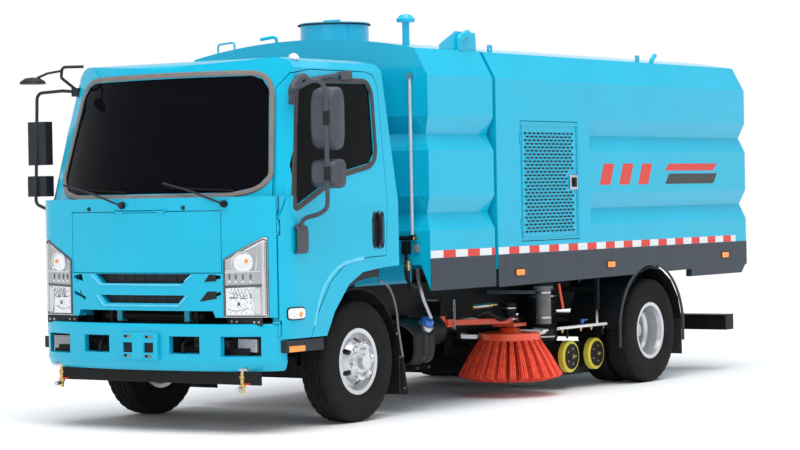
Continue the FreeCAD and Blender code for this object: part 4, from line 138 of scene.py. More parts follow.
GLASS = material("tinted_glass", (0.003, 0.0035, 0.005), 0.04, spec=0.05, coat=0.0, vary=0.1,
                 rough_vary=0.01, alpha=0.95)
SEAL = material("window_seal", (0.016, 0.017, 0.019), 0.55, spec=0.15, vary=0.1, bump=0.1, bump_scale=200)
TAUPE = material("screen_seal", (0.19, 0.165, 0.155), 0.5, vary=0.1, bump=0.1, bump_scale=200)
LENS = material("lamp_clear", (0.92, 0.95, 0.98), 0.03, spec=0.6, vary=0.01, rough_vary=0.01, alpha=0.22)
BOWL = material("lamp_bowl", (0.80, 0.81, 0.83), 0.12, metal=1.0, vary=0.04, rough_vary=0.04)
BEZEL = material("lamp_bezel", (0.42, 0.43, 0.45), 0.25, metal=0.7, vary=0.06)
AMBER = material("lamp_amber", (0.95, 0.26, 0.015), 0.15, coat=0.6, vary=0.1, scale=80, bump=0.2,
                 bump_scale=220, emission=0.12)
RED_LENS = material("lamp_red", (0.6, 0.012, 0.01), 0.15, coat=0.6, vary=0.1, scale=80, bump=0.2,
                    bump_scale=220)
INSIDE = material("inside_grey", (0.045, 0.045, 0.05), 0.75, vary=0.15, bump=0.3, bump_scale=300)
SEAT = material("seat_cloth", (0.035, 0.036, 0.042), 0.9, vary=0.25, scale=60, bump=0.5, bump_scale=700)
BRISTLE = material("brush_red", (0.82, 0.085, 0.045), 0.42, spec=0.2, vary=0.22, scale=30, bump=0.3,
                   bump_scale=500)
ARM = material("arm_orange", (0.80, 0.080, 0.022), 0.35, coat=0.3, vary=0.08, scale=12, bump=0.05)
YELLOW = material("nozzle_yellow", (0.72, 0.60, 0.055), 0.45, vary=0.1, scale=20, bump=0.15, bump_scale=200)
HOSE = material("hose_rubber", (0.010, 0.010, 0.012), 0.4, spec=0.25, vary=0.2, bump=0.2, bump_scale=300)
WHITE = material("pipe_white", (0.80, 0.80, 0.78), 0.4, vary=0.05, bump=0.05)
GREY = material("grey_pipe", (0.16, 0.165, 0.165), 0.55, vary=0.2, scale=14, bump=0.2, bump_scale=60)
RED = material("stripe_red", (0.68, 0.028, 0.016), 0.35, vary=0.08, scale=90, bump=0.15, bump_scale=900)
STRIPE_WHITE = material("stripe_white", (0.74, 0.76, 0.78), 0.35, vary=0.06, scale=90, bump=0.15,
                        bump_scale=900)
CHARCOAL = material("band_charcoal", (0.014, 0.016, 0.02), 0.35, vary=0.1, bump=0.05)
CAP_BLUE = material("cap_blue", (0.03, 0.13, 0.50), 0.35, vary=0.08, bump=0.1)
# near-black painted shade standing for holes and openings: the bracket slots, the grille's corner openings
# and the door perforations
HOLE_SHADE = material("painted_hole_shade", (0.006, 0.006, 0.007), 0.8, vary=0.2, bump=0.1)
ALLOY = material("bare_alloy", (0.42, 0.43, 0.45), 0.38, metal=0.9, vary=0.15, scale=20, bump=0.1)
LEVEL = material("level_tube", (0.62, 0.68, 0.70), 0.2, spec=0.5, coat=0.5, vary=0.1, alpha=0.75)
FLAP = material("mud_flap", (0.020, 0.018, 0.017), 0.7, spec=0.15, vary=0.3, scale=30, bump=0.3,
                bump_scale=200, ground_tint=(0.06, 0.05, 0.045), ground_tint_low=0.0, ground_tint_high=0.8)
LENS_WHITE = material("lens_white", (0.80, 0.81, 0.82), 0.12, coat=0.8, vary=0.12, scale=60, bump=0.15,
                      bump_scale=300)
BEZEL_DARK = material("lamp_bezel_dark", (0.11, 0.11, 0.12), 0.3, metal=0.4, vary=0.1)
TAUPE_DARK = material("door_seal_grey", (0.060, 0.054, 0.054), 0.5, spec=0.2, vary=0.1, bump=0.1,
                      bump_scale=200)
# lighter blue painted highlight, laid along the door flare's crease and the lips of the grille slots
PAINT_HIGHLIGHT = material("paint_blue_painted_highlight", (0.10, 0.58, 0.80), 0.3, coat=0.8, spec=0.25, vary=0.03)
CHASSIS_INSIDE = material("body_inside", (0.10, 0.16, 0.19), 0.6, vary=0.2, bump=0.1)

BY_NODE = {
    PAINT: "front_bumper water_tank tank_lid cab_shell cab_door_left cab_door_right front_lid hopper_shell "
           "service_door_left service_door_right tailgate",
    SKIRT: "tank_skirts hopper_skirts",
    BLACK: "chassis_frame underrun_guard silencer battery_box brush_brackets suction_nozzle side_tanks "
           "mudguards",
    SPRING: "front_axle rear_axle leaf_springs knuckle_left knuckle_right tie_rod",
    IRON: "engine_block driveline",
    PLASTIC: "cab_trim grille_mesh mirrors_left mirrors_right",
    BOWL: "headlamps chassis_lamps",
    GLASS: "cab_glass door_glass_left door_glass_right",
    INSIDE: "cab_inside",
    ZINC: "ram_barrel ram_rod tank_fittings",
    ARM: "brush_post_left brush_post_right brush_arm_left brush_arm_right",
    BRISTLE: "side_brush_left side_brush_right",
    YELLOW: "nozzle_wheels_front nozzle_wheels_rear",
    HOSE: "suction_line",
    WHITE: "spray_bars",
    RUBBER: "front_tyre_left front_tyre_right rear_tyres_left rear_tyres_right",
    SILVER: "front_rim_left front_rim_right rear_rims_left rear_rims_right",
}
for mat, names in BY_NODE.items():
    for name in names.split():
        NODES[name].data.materials.clear()
        NODES[name].data.materials.append(mat)


# ---------------------------------------------------------------- mesh tools

STRIP_SECTION = ((-0.5, -0.3), (-0.5, 0.45), (-0.32, 1.0), (0.32, 1.0), (0.5, 0.45), (0.5, -0.3))
SHARP = math.radians(32)
BEVEL_OVER = math.radians(35)


def new_verts(made):
    return [g for g in made["geom"] if isinstance(g, bmesh.types.BMVert)]


def open_edges(verts):
    return list({e for v in verts for e in v.link_edges if e.is_boundary})


class Piece:
    """One object in the making: a mesh that rides on a body, in one material."""

    def __init__(self, name, body, mat):
        self.name, self.body, self.mat, self.bm = name, body, mat, bmesh.new()

    def box(self, x, y, z, turn=None):
        """A box between two x, two y and two z, turned about its own middle."""
        made = bmesh.ops.create_cube(self.bm, size=1)["verts"]
        size = [abs(b - a) for a, b in (x, y, z)]
        middle = [(a + b) / 2 for a, b in (x, y, z)]
        place = Matrix.LocRotScale(Vector(middle), turn, Vector(size))
        bmesh.ops.transform(self.bm, matrix=place, verts=made)

    def lathe(self, profile, way, at, steps=32):
        """A profile of (along, radius) spun about a line through a point; open ends are closed flat."""
        bm = self.bm
        before = set(bm.verts)
        line = [bm.verts.new((radius, 0, along)) for along, radius in profile]
        edges = [bm.edges.new(pair) for pair in zip(line, line[1:])]
        bmesh.ops.spin(bm, geom=line + edges, cent=(0, 0, 0), axis=Z, angle=TAU, steps=steps,
                       use_merge=True)
        bmesh.ops.remove_doubles(bm, verts=[v for v in bm.verts if v not in before], dist=TOUCH)
        made = [v for v in bm.verts if v not in before]
        bmesh.ops.holes_fill(bm, edges=open_edges(made), sides=0)
        turn = Z.rotation_difference(Vector(way)).to_matrix().to_4x4()
        bmesh.ops.transform(bm, matrix=Matrix.Translation(at) @ turn, verts=made)
        return made

    def bolt(self, at, way, size=0.012):
        """A hexagon head on a washer, standing out along a direction."""
        self.lathe([(0, size * 0.9), (size * 0.2, size * 0.9)], way, at, 16)
        self.lathe([(0, size * 0.6), (size * 0.75, size * 0.6), (size * 0.85, size * 0.5)], way, at, 6)

    def sweep(self, rings, closed=False, start_cap=True):
        """A disc drawn out through rings of places; returns the face at its far end."""
        bm = self.bm
        disc = bmesh.ops.create_circle(bm, segments=len(rings[0]), radius=1, cap_ends=True)["verts"]
        cap = disc[0].link_faces[0]
        start = cap.verts[:]
        for vert, place in zip(start, rings[0]):
            vert.co = place
        for ring in rings[1:] + (rings[:1] if closed else []):
            cap = bmesh.ops.extrude_discrete_faces(bm, faces=[cap])["faces"][0]
            for vert, place in zip(cap.verts, ring):
                vert.co = place
        if closed:
            ends = start + cap.verts[:]
            bmesh.ops.delete(bm, geom=[cap], context="FACES_ONLY")
            bmesh.ops.remove_doubles(bm, verts=ends, dist=TOUCH)
        elif start_cap:
            bmesh.ops.holes_fill(bm, edges=open_edges(start), sides=0)
        return cap

    def tube(self, points, radius, steps=10, smooth=6, closed=False):
        """A round tube on a smooth line through points; radius may be a list of widths along it."""
        line = spline(points, smooth, closed)
        widths = radius if isinstance(radius, list) else [radius]
        last = len(line) - 1
        normal, rings = None, []
        for k, middle in enumerate(line):
            ahead = line[(k + 1) % len(line)] if closed else line[min(k + 1, last)]
            behind = line[k - 1] if closed or k else line[0]
            way = (ahead - behind).normalized()
            normal = (way.orthogonal() if normal is None else normal - way * normal.dot(way)).normalized()
            side = way.cross(normal)
            width = widths[k * (len(widths) - 1) // max(1, last)]
            rings.append([middle + normal * width * math.cos(TAU * j / steps)
                          + side * width * math.sin(TAU * j / steps) for j in range(steps)])
        self.sweep(rings, closed)

    def pod(self, centre, half, layers, power=5.0, steps=40):
        """A housing of rounded rectangles set out along y, each (place along, share of the size)."""
        rings = []
        for along, grow in layers:
            ring = []
            for k in range(steps):
                c, s = math.cos(TAU * k / steps), math.sin(TAU * k / steps)
                reach = (abs(c) ** power + abs(s) ** power) ** (-1 / power) * grow
                ring.append(Vector(centre) + Vector((half[0] * reach * c, along, half[1] * reach * s)))
            rings.append(ring)
        self.sweep(rings, start_cap=False)

    def plate(self, points, depth):
        """A flat polygon of 3-D points given thickness along its normal."""
        face = self.bm.faces.new([self.bm.verts.new(p) for p in points])
        face.normal_update()
        moved = new_verts(bmesh.ops.extrude_face_region(self.bm, geom=[face]))
        bmesh.ops.translate(self.bm, verts=moved, vec=face.normal * depth)

    def lay(self, skin, path, width, height, closed=False, step=0.03):
        """A rounded strip laid on a skin along a path."""
        spots = []
        for a, b in zip(path, path[1:] + (path[:1] if closed else [])):
            a, b = Vector(a), Vector(b)
            count = max(1, round((b - a).length / step))
            spots += [a.lerp(b, k / count) for k in range(count)]
        if not closed:
            spots.append(Vector(path[-1]))
        hits = [hit for hit in (skin.cast(*spot) for spot in spots) if hit]
        count = len(hits)
        rings = []
        for k, (point, normal) in enumerate(hits):
            ahead = hits[(k + 1) % count][0] if closed or k + 1 < count else point
            behind = hits[k - 1][0] if closed or k else point
            across = (ahead - behind).normalized().cross(normal).normalized()
            rings.append([point + across * width * out + normal * height * up for out, up in STRIP_SECTION])
        self.sweep(rings, closed)

    def patch(self, skin, corners, height, across=8, up=8, relief=None, sink=0.004):
        """A plate laid on a skin over a four-cornered area; relief adds to its height."""
        a, b, c, d = map(Vector, corners)
        low = bmesh.ops.create_grid(self.bm, x_segments=across, y_segments=up, size=0.5)["verts"]
        cells = list({face for v in low for face in v.link_faces})
        top = new_verts(bmesh.ops.extrude_face_region(self.bm, geom=cells))
        for verts, is_top in ((low, False), (top, True)):
            for vert in verts:
                u, v = round((vert.co.x + 0.5) * across) / across, round((vert.co.y + 0.5) * up) / up
                point, normal = skin.cast(*a.lerp(b, u).lerp(d.lerp(c, u), v))
                lift = height + (relief(u, v) if relief else 0.0)
                vert.co = point + normal * lift if is_top else point - normal * sink

    def round_patch(self, skin, centre, size, height, corner=0.3, steps=24, dish=0.0, sink=0.004):
        """A plate with a rounded outline laid on a skin; dish lowers its middle."""
        power = 2 / corner
        rings = []
        for share, lift in ((1.0, -sink), (1.0, height * 0.55), (0.9, None), (0.7, None), (0.35, None)):
            lift = height - dish * (1 - share * share) if lift is None else lift
            ring = []
            for k in range(steps):
                c, s = math.cos(TAU * (k + 0.5) / steps), math.sin(TAU * (k + 0.5) / steps)
                reach = (abs(c) ** power + abs(s) ** power) ** (-1 / power) * share / 2
                point, normal = skin.cast(centre[0] + size[0] * reach * c, centre[1] + size[1] * reach * s)
                ring.append(point + normal * lift)
            rings.append(ring)
        middle = bmesh.ops.poke(self.bm, faces=[self.sweep(rings)])["verts"][0]
        point, normal = skin.cast(*centre)
        middle.co = point + normal * (height - dish)

    def take(self, other):
        """Add another piece's mesh to this one."""
        data = bpy.data.meshes.new(other.name)
        other.bm.to_mesh(data)
        other.bm.free()
        self.bm.from_mesh(data)
        bpy.data.meshes.remove(data)

    def finish(self, bevel=0.0, segments=2, smooth=True, side=1, replaces=()):
        """The mesh as an object riding on its body, mirrored for the right side, its edges rounded."""
        bm = self.bm
        if side < 0:
            bmesh.ops.transform(bm, matrix=MIRROR_X, verts=bm.verts)
        bmesh.ops.recalc_face_normals(bm, faces=bm.faces[:])
        if all(edge.is_manifold for edge in bm.edges) and bm.calc_volume(signed=True) < 0:
            bmesh.ops.reverse_faces(bm, faces=bm.faces[:])
        data = bpy.data.meshes.new(self.name)
        bm.to_mesh(data)
        bm.free()
        data.materials.append(self.mat)
        obj = bpy.data.objects.new(self.name, data)
        bpy.context.scene.collection.objects.link(obj)
        if smooth:
            data.polygons.foreach_set("use_smooth", [True] * len(data.polygons))
            data.set_sharp_from_angle(angle=SHARP)
        if bevel:
            mod = obj.modifiers.new("edges", "BEVEL")
            mod.width, mod.segments = bevel, segments
            mod.limit_method, mod.angle_limit = "ANGLE", BEVEL_OVER
        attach(obj, self.body)
        if replaces:
            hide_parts(*replaces)


def spline(points, steps, closed=False):
    """Points on a Catmull-Rom line through the given points."""
    pts = [Vector(p) for p in points]
    if steps <= 1 or len(pts) < 3:
        return pts
    out = []
    for k in range(len(pts) if closed else len(pts) - 1):
        if closed:
            a, b, c, d = (pts[(k + n) % len(pts)] for n in (-1, 0, 1, 2))
        else:
            a, b, c, d = pts[max(k - 1, 0)], pts[k], pts[k + 1], pts[min(k + 2, len(pts) - 1)]
        for s in range(steps):
            t = s / steps
            out.append(0.5 * ((2 * b) + (c - a) * t + (2 * a - 5 * b + 4 * c - d) * t * t
                              + (3 * b - a - 3 * c + d) * t ** 3))
    return out if closed else out + [pts[-1]]


def both_sides(name, body, mat, build, **kw):
    """One piece a side, built on the left and mirrored for the right."""
    for word, side in SIDES:
        piece = Piece(f"{name}_{word}", body.format(word), mat)
        build(piece)
        piece.finish(side=side, **kw)


# ---------------------------------------------------------------- wheels

def tyre(name, body, x, y, replaces, offsets=(0,)):
    """A road tyre: zigzag ribs round the tread, cut shoulders and raised rings on the walls."""
    piece = Piece(name, body, RUBBER)
    half, bead, groove, steps = 0.1075, 0.2075, 0.009, 144
    outer = WHEEL_RADIUS
    half_section = [(-0.082, bead + 0.004), (-0.094, 0.222), (-0.1, 0.236), (-0.1005, 0.246),
                    (-0.104, 0.262), (-half, 0.300), (-half, 0.318), (-0.1062, 0.332), (-0.1045, 0.352),
                    (-0.1015, 0.368), (-0.0975, 0.382), (-0.091, 0.3935), (-0.084, outer - 0.003)]
    for k, along in enumerate((-0.056, -0.052, -0.047, -0.043, -0.0185, -0.0145, -0.0105, -0.0065)):
        deep = groove if k in (1, 2, 5, 6) else 0.0
        half_section.append((along, outer - 0.0025 + 0.0025 * (1 - (along / 0.09) ** 2) - deep))
    section = half_section + [(-along, radius) for along, radius in reversed(half_section)]
    section += [(0.084, bead + 0.001), (-0.082, bead + 0.001), section[0]]
    for offset in offsets:
        for v in piece.lathe(section, X, (x + offset, y, outer), steps):
            along = abs(v.co.x - x - offset)
            out = Vector((0, v.co.y - y, v.co.z - outer))
            step = round(math.atan2(out.y, -out.z) / TAU * steps) % steps
            if along < 0.06 and out.length > 0.38:
                v.co.x += 0.004 if (step // 3) % 2 else -0.004
            elif 0.083 < along < 0.0985 and out.length > 0.38 and step % 4 == 0:
                v.co -= out.normalized() * 0.006
    for v in piece.bm.verts:
        v.co.z = max(v.co.z, 0.0002)
    piece.finish(replaces=replaces)


for word, side in SIDES:
    tyre(f"front_tyre_look_{word}", f"front_wheel_{word}", 0.840 * side, FRONT_AXLE,
         (f"front_tyre_{word}",))
    tyre(f"rear_tyre_look_{word}", f"rear_wheels_{word}", 0.825 * side, REAR_AXLE, (f"rear_tyres_{word}",),
         (-0.1225, 0.1225))


# ---------------------------------------------------------------- surfaces

class Skin:
    """CAD surfaces as they stand, met by rays from one side; a spot is a place across and a height."""
    RAYS = {"side": (4 * X, -X, Y), "front": (-6 * Y, Y, X), "back": (7 * Y, -Y, X)}

    def __init__(self, seen_from, *names):
        self.start, self.way, self.across = self.RAYS[seen_from]
        verts, faces = [], []
        for name in names:
            obj = NODES[name]
            start = len(verts)
            verts += [obj.matrix_world @ v.co for v in obj.data.vertices]
            faces += [tuple(start + k for k in p.vertices) for p in obj.data.polygons]
        self.tree = BVHTree.FromPolygons(verts, faces)

    def cast(self, across, height):
        """Where a ray meets the skin, and the way out of it there."""
        point, normal, *_ = self.tree.ray_cast(self.start + self.across * across + Z * height, self.way)
        if point is None:
            return None
        return point, -normal if normal.dot(self.way) > 0 else normal


bpy.context.view_layer.update()
DOOR = Skin("side", "cab_door_left")
SHELL = Skin("front", "cab_shell")
NOSE = Skin("front", "cab_shell", "front_lid")
SCREEN_GLASS = Skin("front", "cab_glass")
GRILLE = Skin("front", "grille_mesh")
LAMP = Skin("front", "headlamps")
SIDE = Skin("side", "water_tank", "hopper_shell", "tank_skirts", "hopper_skirts", "service_door_left")
REAR = Skin("back", "hopper_shell", "tailgate")
FRONT_RIM = Skin("side", "front_rim_left")
REAR_RIM = Skin("side", "rear_rims_left")


def repaint(name, mat, test):
    """Give part of a CAD node another material, where a test on a face's middle and normal holds."""
    obj = NODES[name]
    obj.data.materials.append(mat)
    slot = len(obj.data.materials) - 1
    turn = obj.matrix_world.to_3x3()
    for face in obj.data.polygons:
        if test(obj.matrix_world @ face.center, turn @ face.normal):
            face.material_index = slot


# ---------------------------------------------------------------- paint of the CAD pieces

repaint("front_bumper", BLACK, lambda c, n: c.z < 0.389 or c.y > -3.17 and abs(c.x) < 0.9 or n.y > 0.5)
repaint("hopper_shell", BLACK, lambda c, n: c.z < 0.958)
repaint("hopper_shell", CHASSIS_INSIDE, lambda c, n: 0.97 < c.z < 2.49 and -0.585 < c.y < 3.2
        and (abs(c.x) < 0.90 or n.x * c.x < -0.02))
repaint("water_tank", BLACK, lambda c, n: c.z < 0.89 and abs(c.x) < 0.45 or n.z < -0.9 and c.z < 1.0)
repaint("cab_shell", INSIDE, lambda c, n: abs(c.x) < 1.005 and -3.16 < c.y < -1.83 and 0.9 < c.z < 2.3
        and (n.x * c.x < 0 or n.z > 0.5 and c.z < 1.5))
repaint("cab_shell", BLACK, lambda c, n: c.z < 0.9 and abs(c.x) < 0.93 and c.y > -3.1
        or n.z < -0.5 and c.z < 1.05 and c.y > -3.1)
repaint("cab_shell", BLACK, lambda c, n: abs(c.x) < 1.005 and c.y > -1.96 and c.z < 1.06)
repaint("suction_line", GREY, lambda c, n: c.y < 0.45)
repaint("side_tanks", ALLOY, lambda c, n: c.x < 0)
repaint("tank_fittings", PAINT, lambda c, n: c.z > 2.4)
repaint("tank_fittings", LEVEL, lambda c, n: 1.23 < c.z < 2.28)
repaint("tank_fittings", BLACK, lambda c, n: 1.0 < c.z < 1.23 and abs(c.y + 1.47) > 0.004)
repaint("spray_bars", ZINC, lambda c, n: c.y < -3)
repaint("spray_bars", BLACK, lambda c, n: c.y > 0 and (c.z > 0.535 or c.z < 0.47))
repaint("mudguards", FLAP, lambda c, n: c.z < 0.49 and c.y > 2.1)
repaint("cab_trim", LENS_WHITE, lambda c, n: c.z > 2.3)
for word, side in SIDES:
    motor_at = Vector((BRUSH[0] * side, BRUSH[1]))
    repaint(f"brush_arm_{word}", BLACK,
            lambda c, n: c.z > 0.5 and (c.xy - motor_at).length_squared < 0.0032)


# ---------------------------------------------------------------- cab glass and doors

def rounded(outline, cut_off=0.045, rounds=3):
    """A closed outline with its corners cut again and again, so that they turn smoothly."""
    pts = [Vector(p) for p in outline]
    for _ in range(rounds):
        out = []
        for k, p in enumerate(pts):
            for other in (pts[k - 1], pts[(k + 1) % len(pts)]):
                out.append(p + (other - p) * min(0.25, cut_off / max((other - p).length, TOUCH)))
        pts, cut_off = out, cut_off * 0.5
    return pts


SCREEN = [(0.0, 1.510), (0.40, 1.511), (0.655, 1.514), (0.800, 1.545), (0.872, 1.622), (0.862, 1.70),
          (0.796, 2.200), (0.744, 2.276), (0.662, 2.300), (0.0, 2.302)]
seal = Piece("screen_seal", "cab", TAUPE)
seal.lay(SHELL, rounded(SCREEN + [(-x, z) for x, z in SCREEN[-2:0:-1]]), 0.034, 0.009, closed=True)
seal.finish()

CAB_DOOR = "cab_door_{}"
WINDOW = [(-2.958, 1.412), (-2.421, 1.632), (-2.056, 1.693), (-1.982, 1.762), (-1.937, 2.192),
          (-1.982, 2.258), (-2.690, 2.248), (-2.766, 2.214), (-2.838, 1.960), (-2.908, 1.700),
          (-2.940, 1.500)]
# line of the painted highlight along the crease of the door's wheel flare
FLARE_HIGHLIGHT = [(-2.790, 0.606), (-2.768, 0.670), (-2.743, 0.740), (-2.714, 0.812), (-2.676, 0.885),
         (-2.630, 0.940), (-2.575, 0.987), (-2.500, 1.034), (-2.402, 1.064), (-2.257, 1.084),
         (-2.100, 1.091), (-1.952, 1.0945)]
GRIP = [(1.012, -2.03, 1.375), (1.030, -2.03, 1.345), (1.034, -2.03, 1.265), (1.030, -2.03, 1.190),
        (1.012, -2.03, 1.160)]
both_sides("door_seal", CAB_DOOR, TAUPE_DARK, lambda p: p.lay(
    DOOR, rounded(WINDOW, 0.03, 2), 0.034, 0.008, closed=True))
# a lighter blue strip: painted highlight on the flare's crease
both_sides("door_flare_highlight", CAB_DOOR, PAINT_HIGHLIGHT, lambda p: p.lay(DOOR, FLARE_HIGHLIGHT, 0.022, 0.005, step=0.025))
both_sides("handle_bezel", CAB_DOOR, PLASTIC, lambda p: p.round_patch(
    DOOR, (-2.030, 1.268), (0.140, 0.250), 0.005, 0.35))
both_sides("handle_grip", CAB_DOOR, BLACK, lambda p: p.tube(GRIP, 0.013, 10, 5))
both_sides("repeater_frame", CAB_DOOR, SEAL, lambda p: p.round_patch(
    DOOR, (-2.948, 0.759), (0.165, 0.084), 0.006))
both_sides("repeater_lens", CAB_DOOR, LENS_WHITE, lambda p: p.round_patch(
    DOOR, (-2.948, 0.759), (0.150, 0.070), 0.014))
both_sides("repeater_bulb", CAB_DOOR, AMBER, lambda p: p.round_patch(
    DOOR, (-2.925, 0.753), (0.036, 0.040), 0.0155, 1.0))
both_sides("sill_marker", "cab", AMBER, lambda p: p.box(
    (1.009, 1.018), (-3.030, -2.860), (0.516, 0.554)), bevel=0.004)


def sill_edge(piece):
    """The moulded step edge with its ribs and fixing bolts."""
    for z in ((0.580, 0.5885), (0.514, 0.5215)):
        piece.box((0.985, 1.012), (-3.060, -2.664), z)
    for k in range(5):
        piece.bolt((1.0135, -3.05 + 0.095 * k, 0.569), X, 0.007)


both_sides("sill_edge", "cab", PLASTIC, sill_edge, bevel=0.003)
ARCH = [(-2.629, 0.600), (-2.590, 0.676), (-2.539, 0.751), (-2.465, 0.842), (-2.377, 0.918),
        (-2.300, 0.962), (-2.215, 0.995), (-2.110, 1.010), (-1.993, 1.017), (-1.952, 1.018)]
ARCH_INNER = [(-2.592, 0.600), (-2.560, 0.650), (-2.510, 0.705), (-2.445, 0.790), (-2.370, 0.860),
              (-2.291, 0.905), (-2.200, 0.934), (-2.114, 0.948), (-2.000, 0.954), (-1.952, 0.953)]


def arch_band(piece):
    """The black band inside the wheel opening, as short plates that meet edge to edge."""
    for a, b, c, d in zip(ARCH, ARCH[1:], ARCH_INNER[1:], ARCH_INNER):
        piece.plate([(0.966, *corner) for corner in (a, b, c, d)], -0.044)
    bmesh.ops.remove_doubles(piece.bm, verts=piece.bm.verts[:], dist=1e-5)


both_sides("arch_trim", "cab", PLASTIC, arch_band)

# ---------------------------------------------------------------- corner lamps

LAMP_OUTLINE = [(0.642, 0.750), (0.919, 0.750), (0.919, 1.228), (0.900, 1.234), (0.642, 1.104)]
STUDS = (0.678, 0.722, 0.770, 0.822)


def facets(u, v):
    """Stepped facets like a cut reflector."""
    return 0.004 * abs(math.sin(u * 9.4)) + 0.003 * (((u * 5 + v * 4) % 1) > 0.5)


def bowl_ring(piece):
    """The bright ring round the upper bowl, flatter below."""
    ring = []
    for k in range(28):
        c, s = math.cos(TAU * k / 28), math.sin(TAU * k / 28)
        ring.append((0.770 + 0.074 * c, 1.082 + 0.074 * s * (0.72 if s < 0 else 1)))
    piece.lay(LAMP, ring, 0.012, 0.010, True, 0.02)


def studs(piece):
    for x in STUDS:
        piece.round_patch(LAMP, (x, 0.998), (0.012, 0.036), 0.007, 0.6, 10)


def stud_tips(piece):
    for x in STUDS:
        piece.round_patch(LAMP, (x, 0.968), (0.016, 0.012), 0.010, 1.0, 10)


def reflector(piece):
    """Slanting bright ribs of the lower bowl."""
    for k in range(6):
        x = 0.690 + 0.022 * k
        piece.lay(LAMP, [(x, 0.922), (x + 0.016, 0.890), (x + 0.022, 0.862)], 0.006, 0.013)
    piece.lay(LAMP, [(0.668, 0.900), (0.740, 0.884), (0.800, 0.858)], 0.006, 0.012)
    piece.lay(LAMP, [(0.668, 0.792), (0.730, 0.780), (0.800, 0.800)], 0.007, 0.012)


def lamp_holes(piece):
    """The lamp hole of the lower bowl and the slots over it, as dark patches of painted shade."""
    piece.round_patch(LAMP, (0.742, 0.826), (0.022, 0.026), 0.013, 1.0, 12)
    piece.round_patch(LAMP, (0.700, 0.866), (0.050, 0.010), 0.011, 0.5, 12)
    piece.round_patch(LAMP, (0.772, 0.862), (0.040, 0.008), 0.011, 0.5, 12)


LAMP_PARTS = (
    ("rim", BEZEL_DARK, lambda p: p.lay(LAMP, LAMP_OUTLINE, 0.010, 0.007, closed=True, step=0.02)),
    ("edge", SILVER, lambda p: p.lay(LAMP, [(0.905, 0.762), (0.905, 1.215)], 0.016, 0.010)),
    ("margin", BEZEL, lambda p: p.patch(
        LAMP, [(0.840, 0.758), (0.893, 0.758), (0.893, 1.215), (0.870, 1.200)], 0.003, 4, 16)),
    ("bowl_back", BEZEL, lambda p: p.patch(
        LAMP, [(0.650, 1.040), (0.850, 1.040), (0.870, 1.200), (0.650, 1.098)], 0.002)),
    ("bowl_ring", SILVER, bowl_ring),
    ("bowl", CHROME, lambda p: p.round_patch(LAMP, (0.770, 1.090), (0.130, 0.118), 0.006, 1.0, dish=0.003)),
    ("bowl_bulb", AMBER, lambda p: p.round_patch(LAMP, (0.794, 1.098), (0.020, 0.028), 0.012, 0.8)),
    ("band", BEZEL, lambda p: p.patch(
        LAMP, [(0.648, 0.944), (0.876, 0.944), (0.876, 1.030), (0.648, 1.030)], 0.004, 8, 3)),
    ("band_bar", SILVER, lambda p: p.lay(LAMP, [(0.650, 1.028), (0.884, 1.034)], 0.014, 0.012)),
    ("band_foot", BEZEL_DARK, lambda p: p.lay(LAMP, [(0.650, 0.936), (0.890, 0.944)], 0.018, 0.008)),
    ("studs", BEZEL_DARK, studs),
    ("tips", LENS_WHITE, stud_tips),
    ("low_bowl", CHROME, lambda p: p.patch(
        LAMP, [(0.660, 0.768), (0.832, 0.768), (0.815, 0.925), (0.664, 0.925)], 0.004, 14, 12, facets)),
    ("ribs", BEZEL, reflector),
    # dark patches: painted shade in the lamp hole and slots
    ("lamp_hole_shade", BEZEL_DARK, lamp_holes),
    ("side_bowl", SILVER, lambda p: p.patch(
        LAMP, [(0.846, 0.765), (0.886, 0.765), (0.880, 0.925), (0.826, 0.925)], 0.005, 4, 8,
        lambda u, v: 0.004 * math.sin(u * 3.1))),
)
for word, side in SIDES:
    for name, mat, build in LAMP_PARTS:
        piece = Piece(f"lamp_{name}_{word}", "cab", mat)
        build(piece)
        piece.finish(smooth=name != "low_bowl", side=side)

# ---------------------------------------------------------------- nose and roof of the cab

def plate_bracket():
    """The blue bracket under the grille, with its slots painted dark as shade and brass bolts."""
    gaps = ((-0.110, -0.032), (0.063, 0.143))
    bracket = Piece("plate_bracket", "chassis", PAINT)
    for x in ((-0.131, -0.110), (-0.032, 0.063), (0.143, 0.178)):
        bracket.box(x, (-3.322, -3.296), (0.470, 0.644))
    for z in ((0.470, 0.515), (0.579, 0.644)):
        for x in gaps:
            bracket.box(x, (-3.322, -3.296), z)
    bracket.finish(bevel=0.002)
    # dark boxes painted as the shade in the bracket's slots and small holes
    holes = Piece("plate_bracket_hole_shade", "chassis", HOLE_SHADE)
    for x in gaps:
        holes.box(x, (-3.306, -3.296), (0.515, 0.579))
    for x, z in ((-0.073, 0.619), (0.102, 0.616), (-0.076, 0.495), (0.099, 0.492)):
        holes.box((x - 0.024, x + 0.024), (-3.3235, -3.318), (z - 0.008, z + 0.008))
    holes.finish()
    bolts = Piece("plate_bolts", "chassis", BRASS)
    for x, z in ((-0.058, 0.619), (0.117, 0.616), (-0.061, 0.495), (0.114, 0.492)):
        bolts.bolt((x, -3.3235, z), -Y, 0.009)
    bolts.finish()


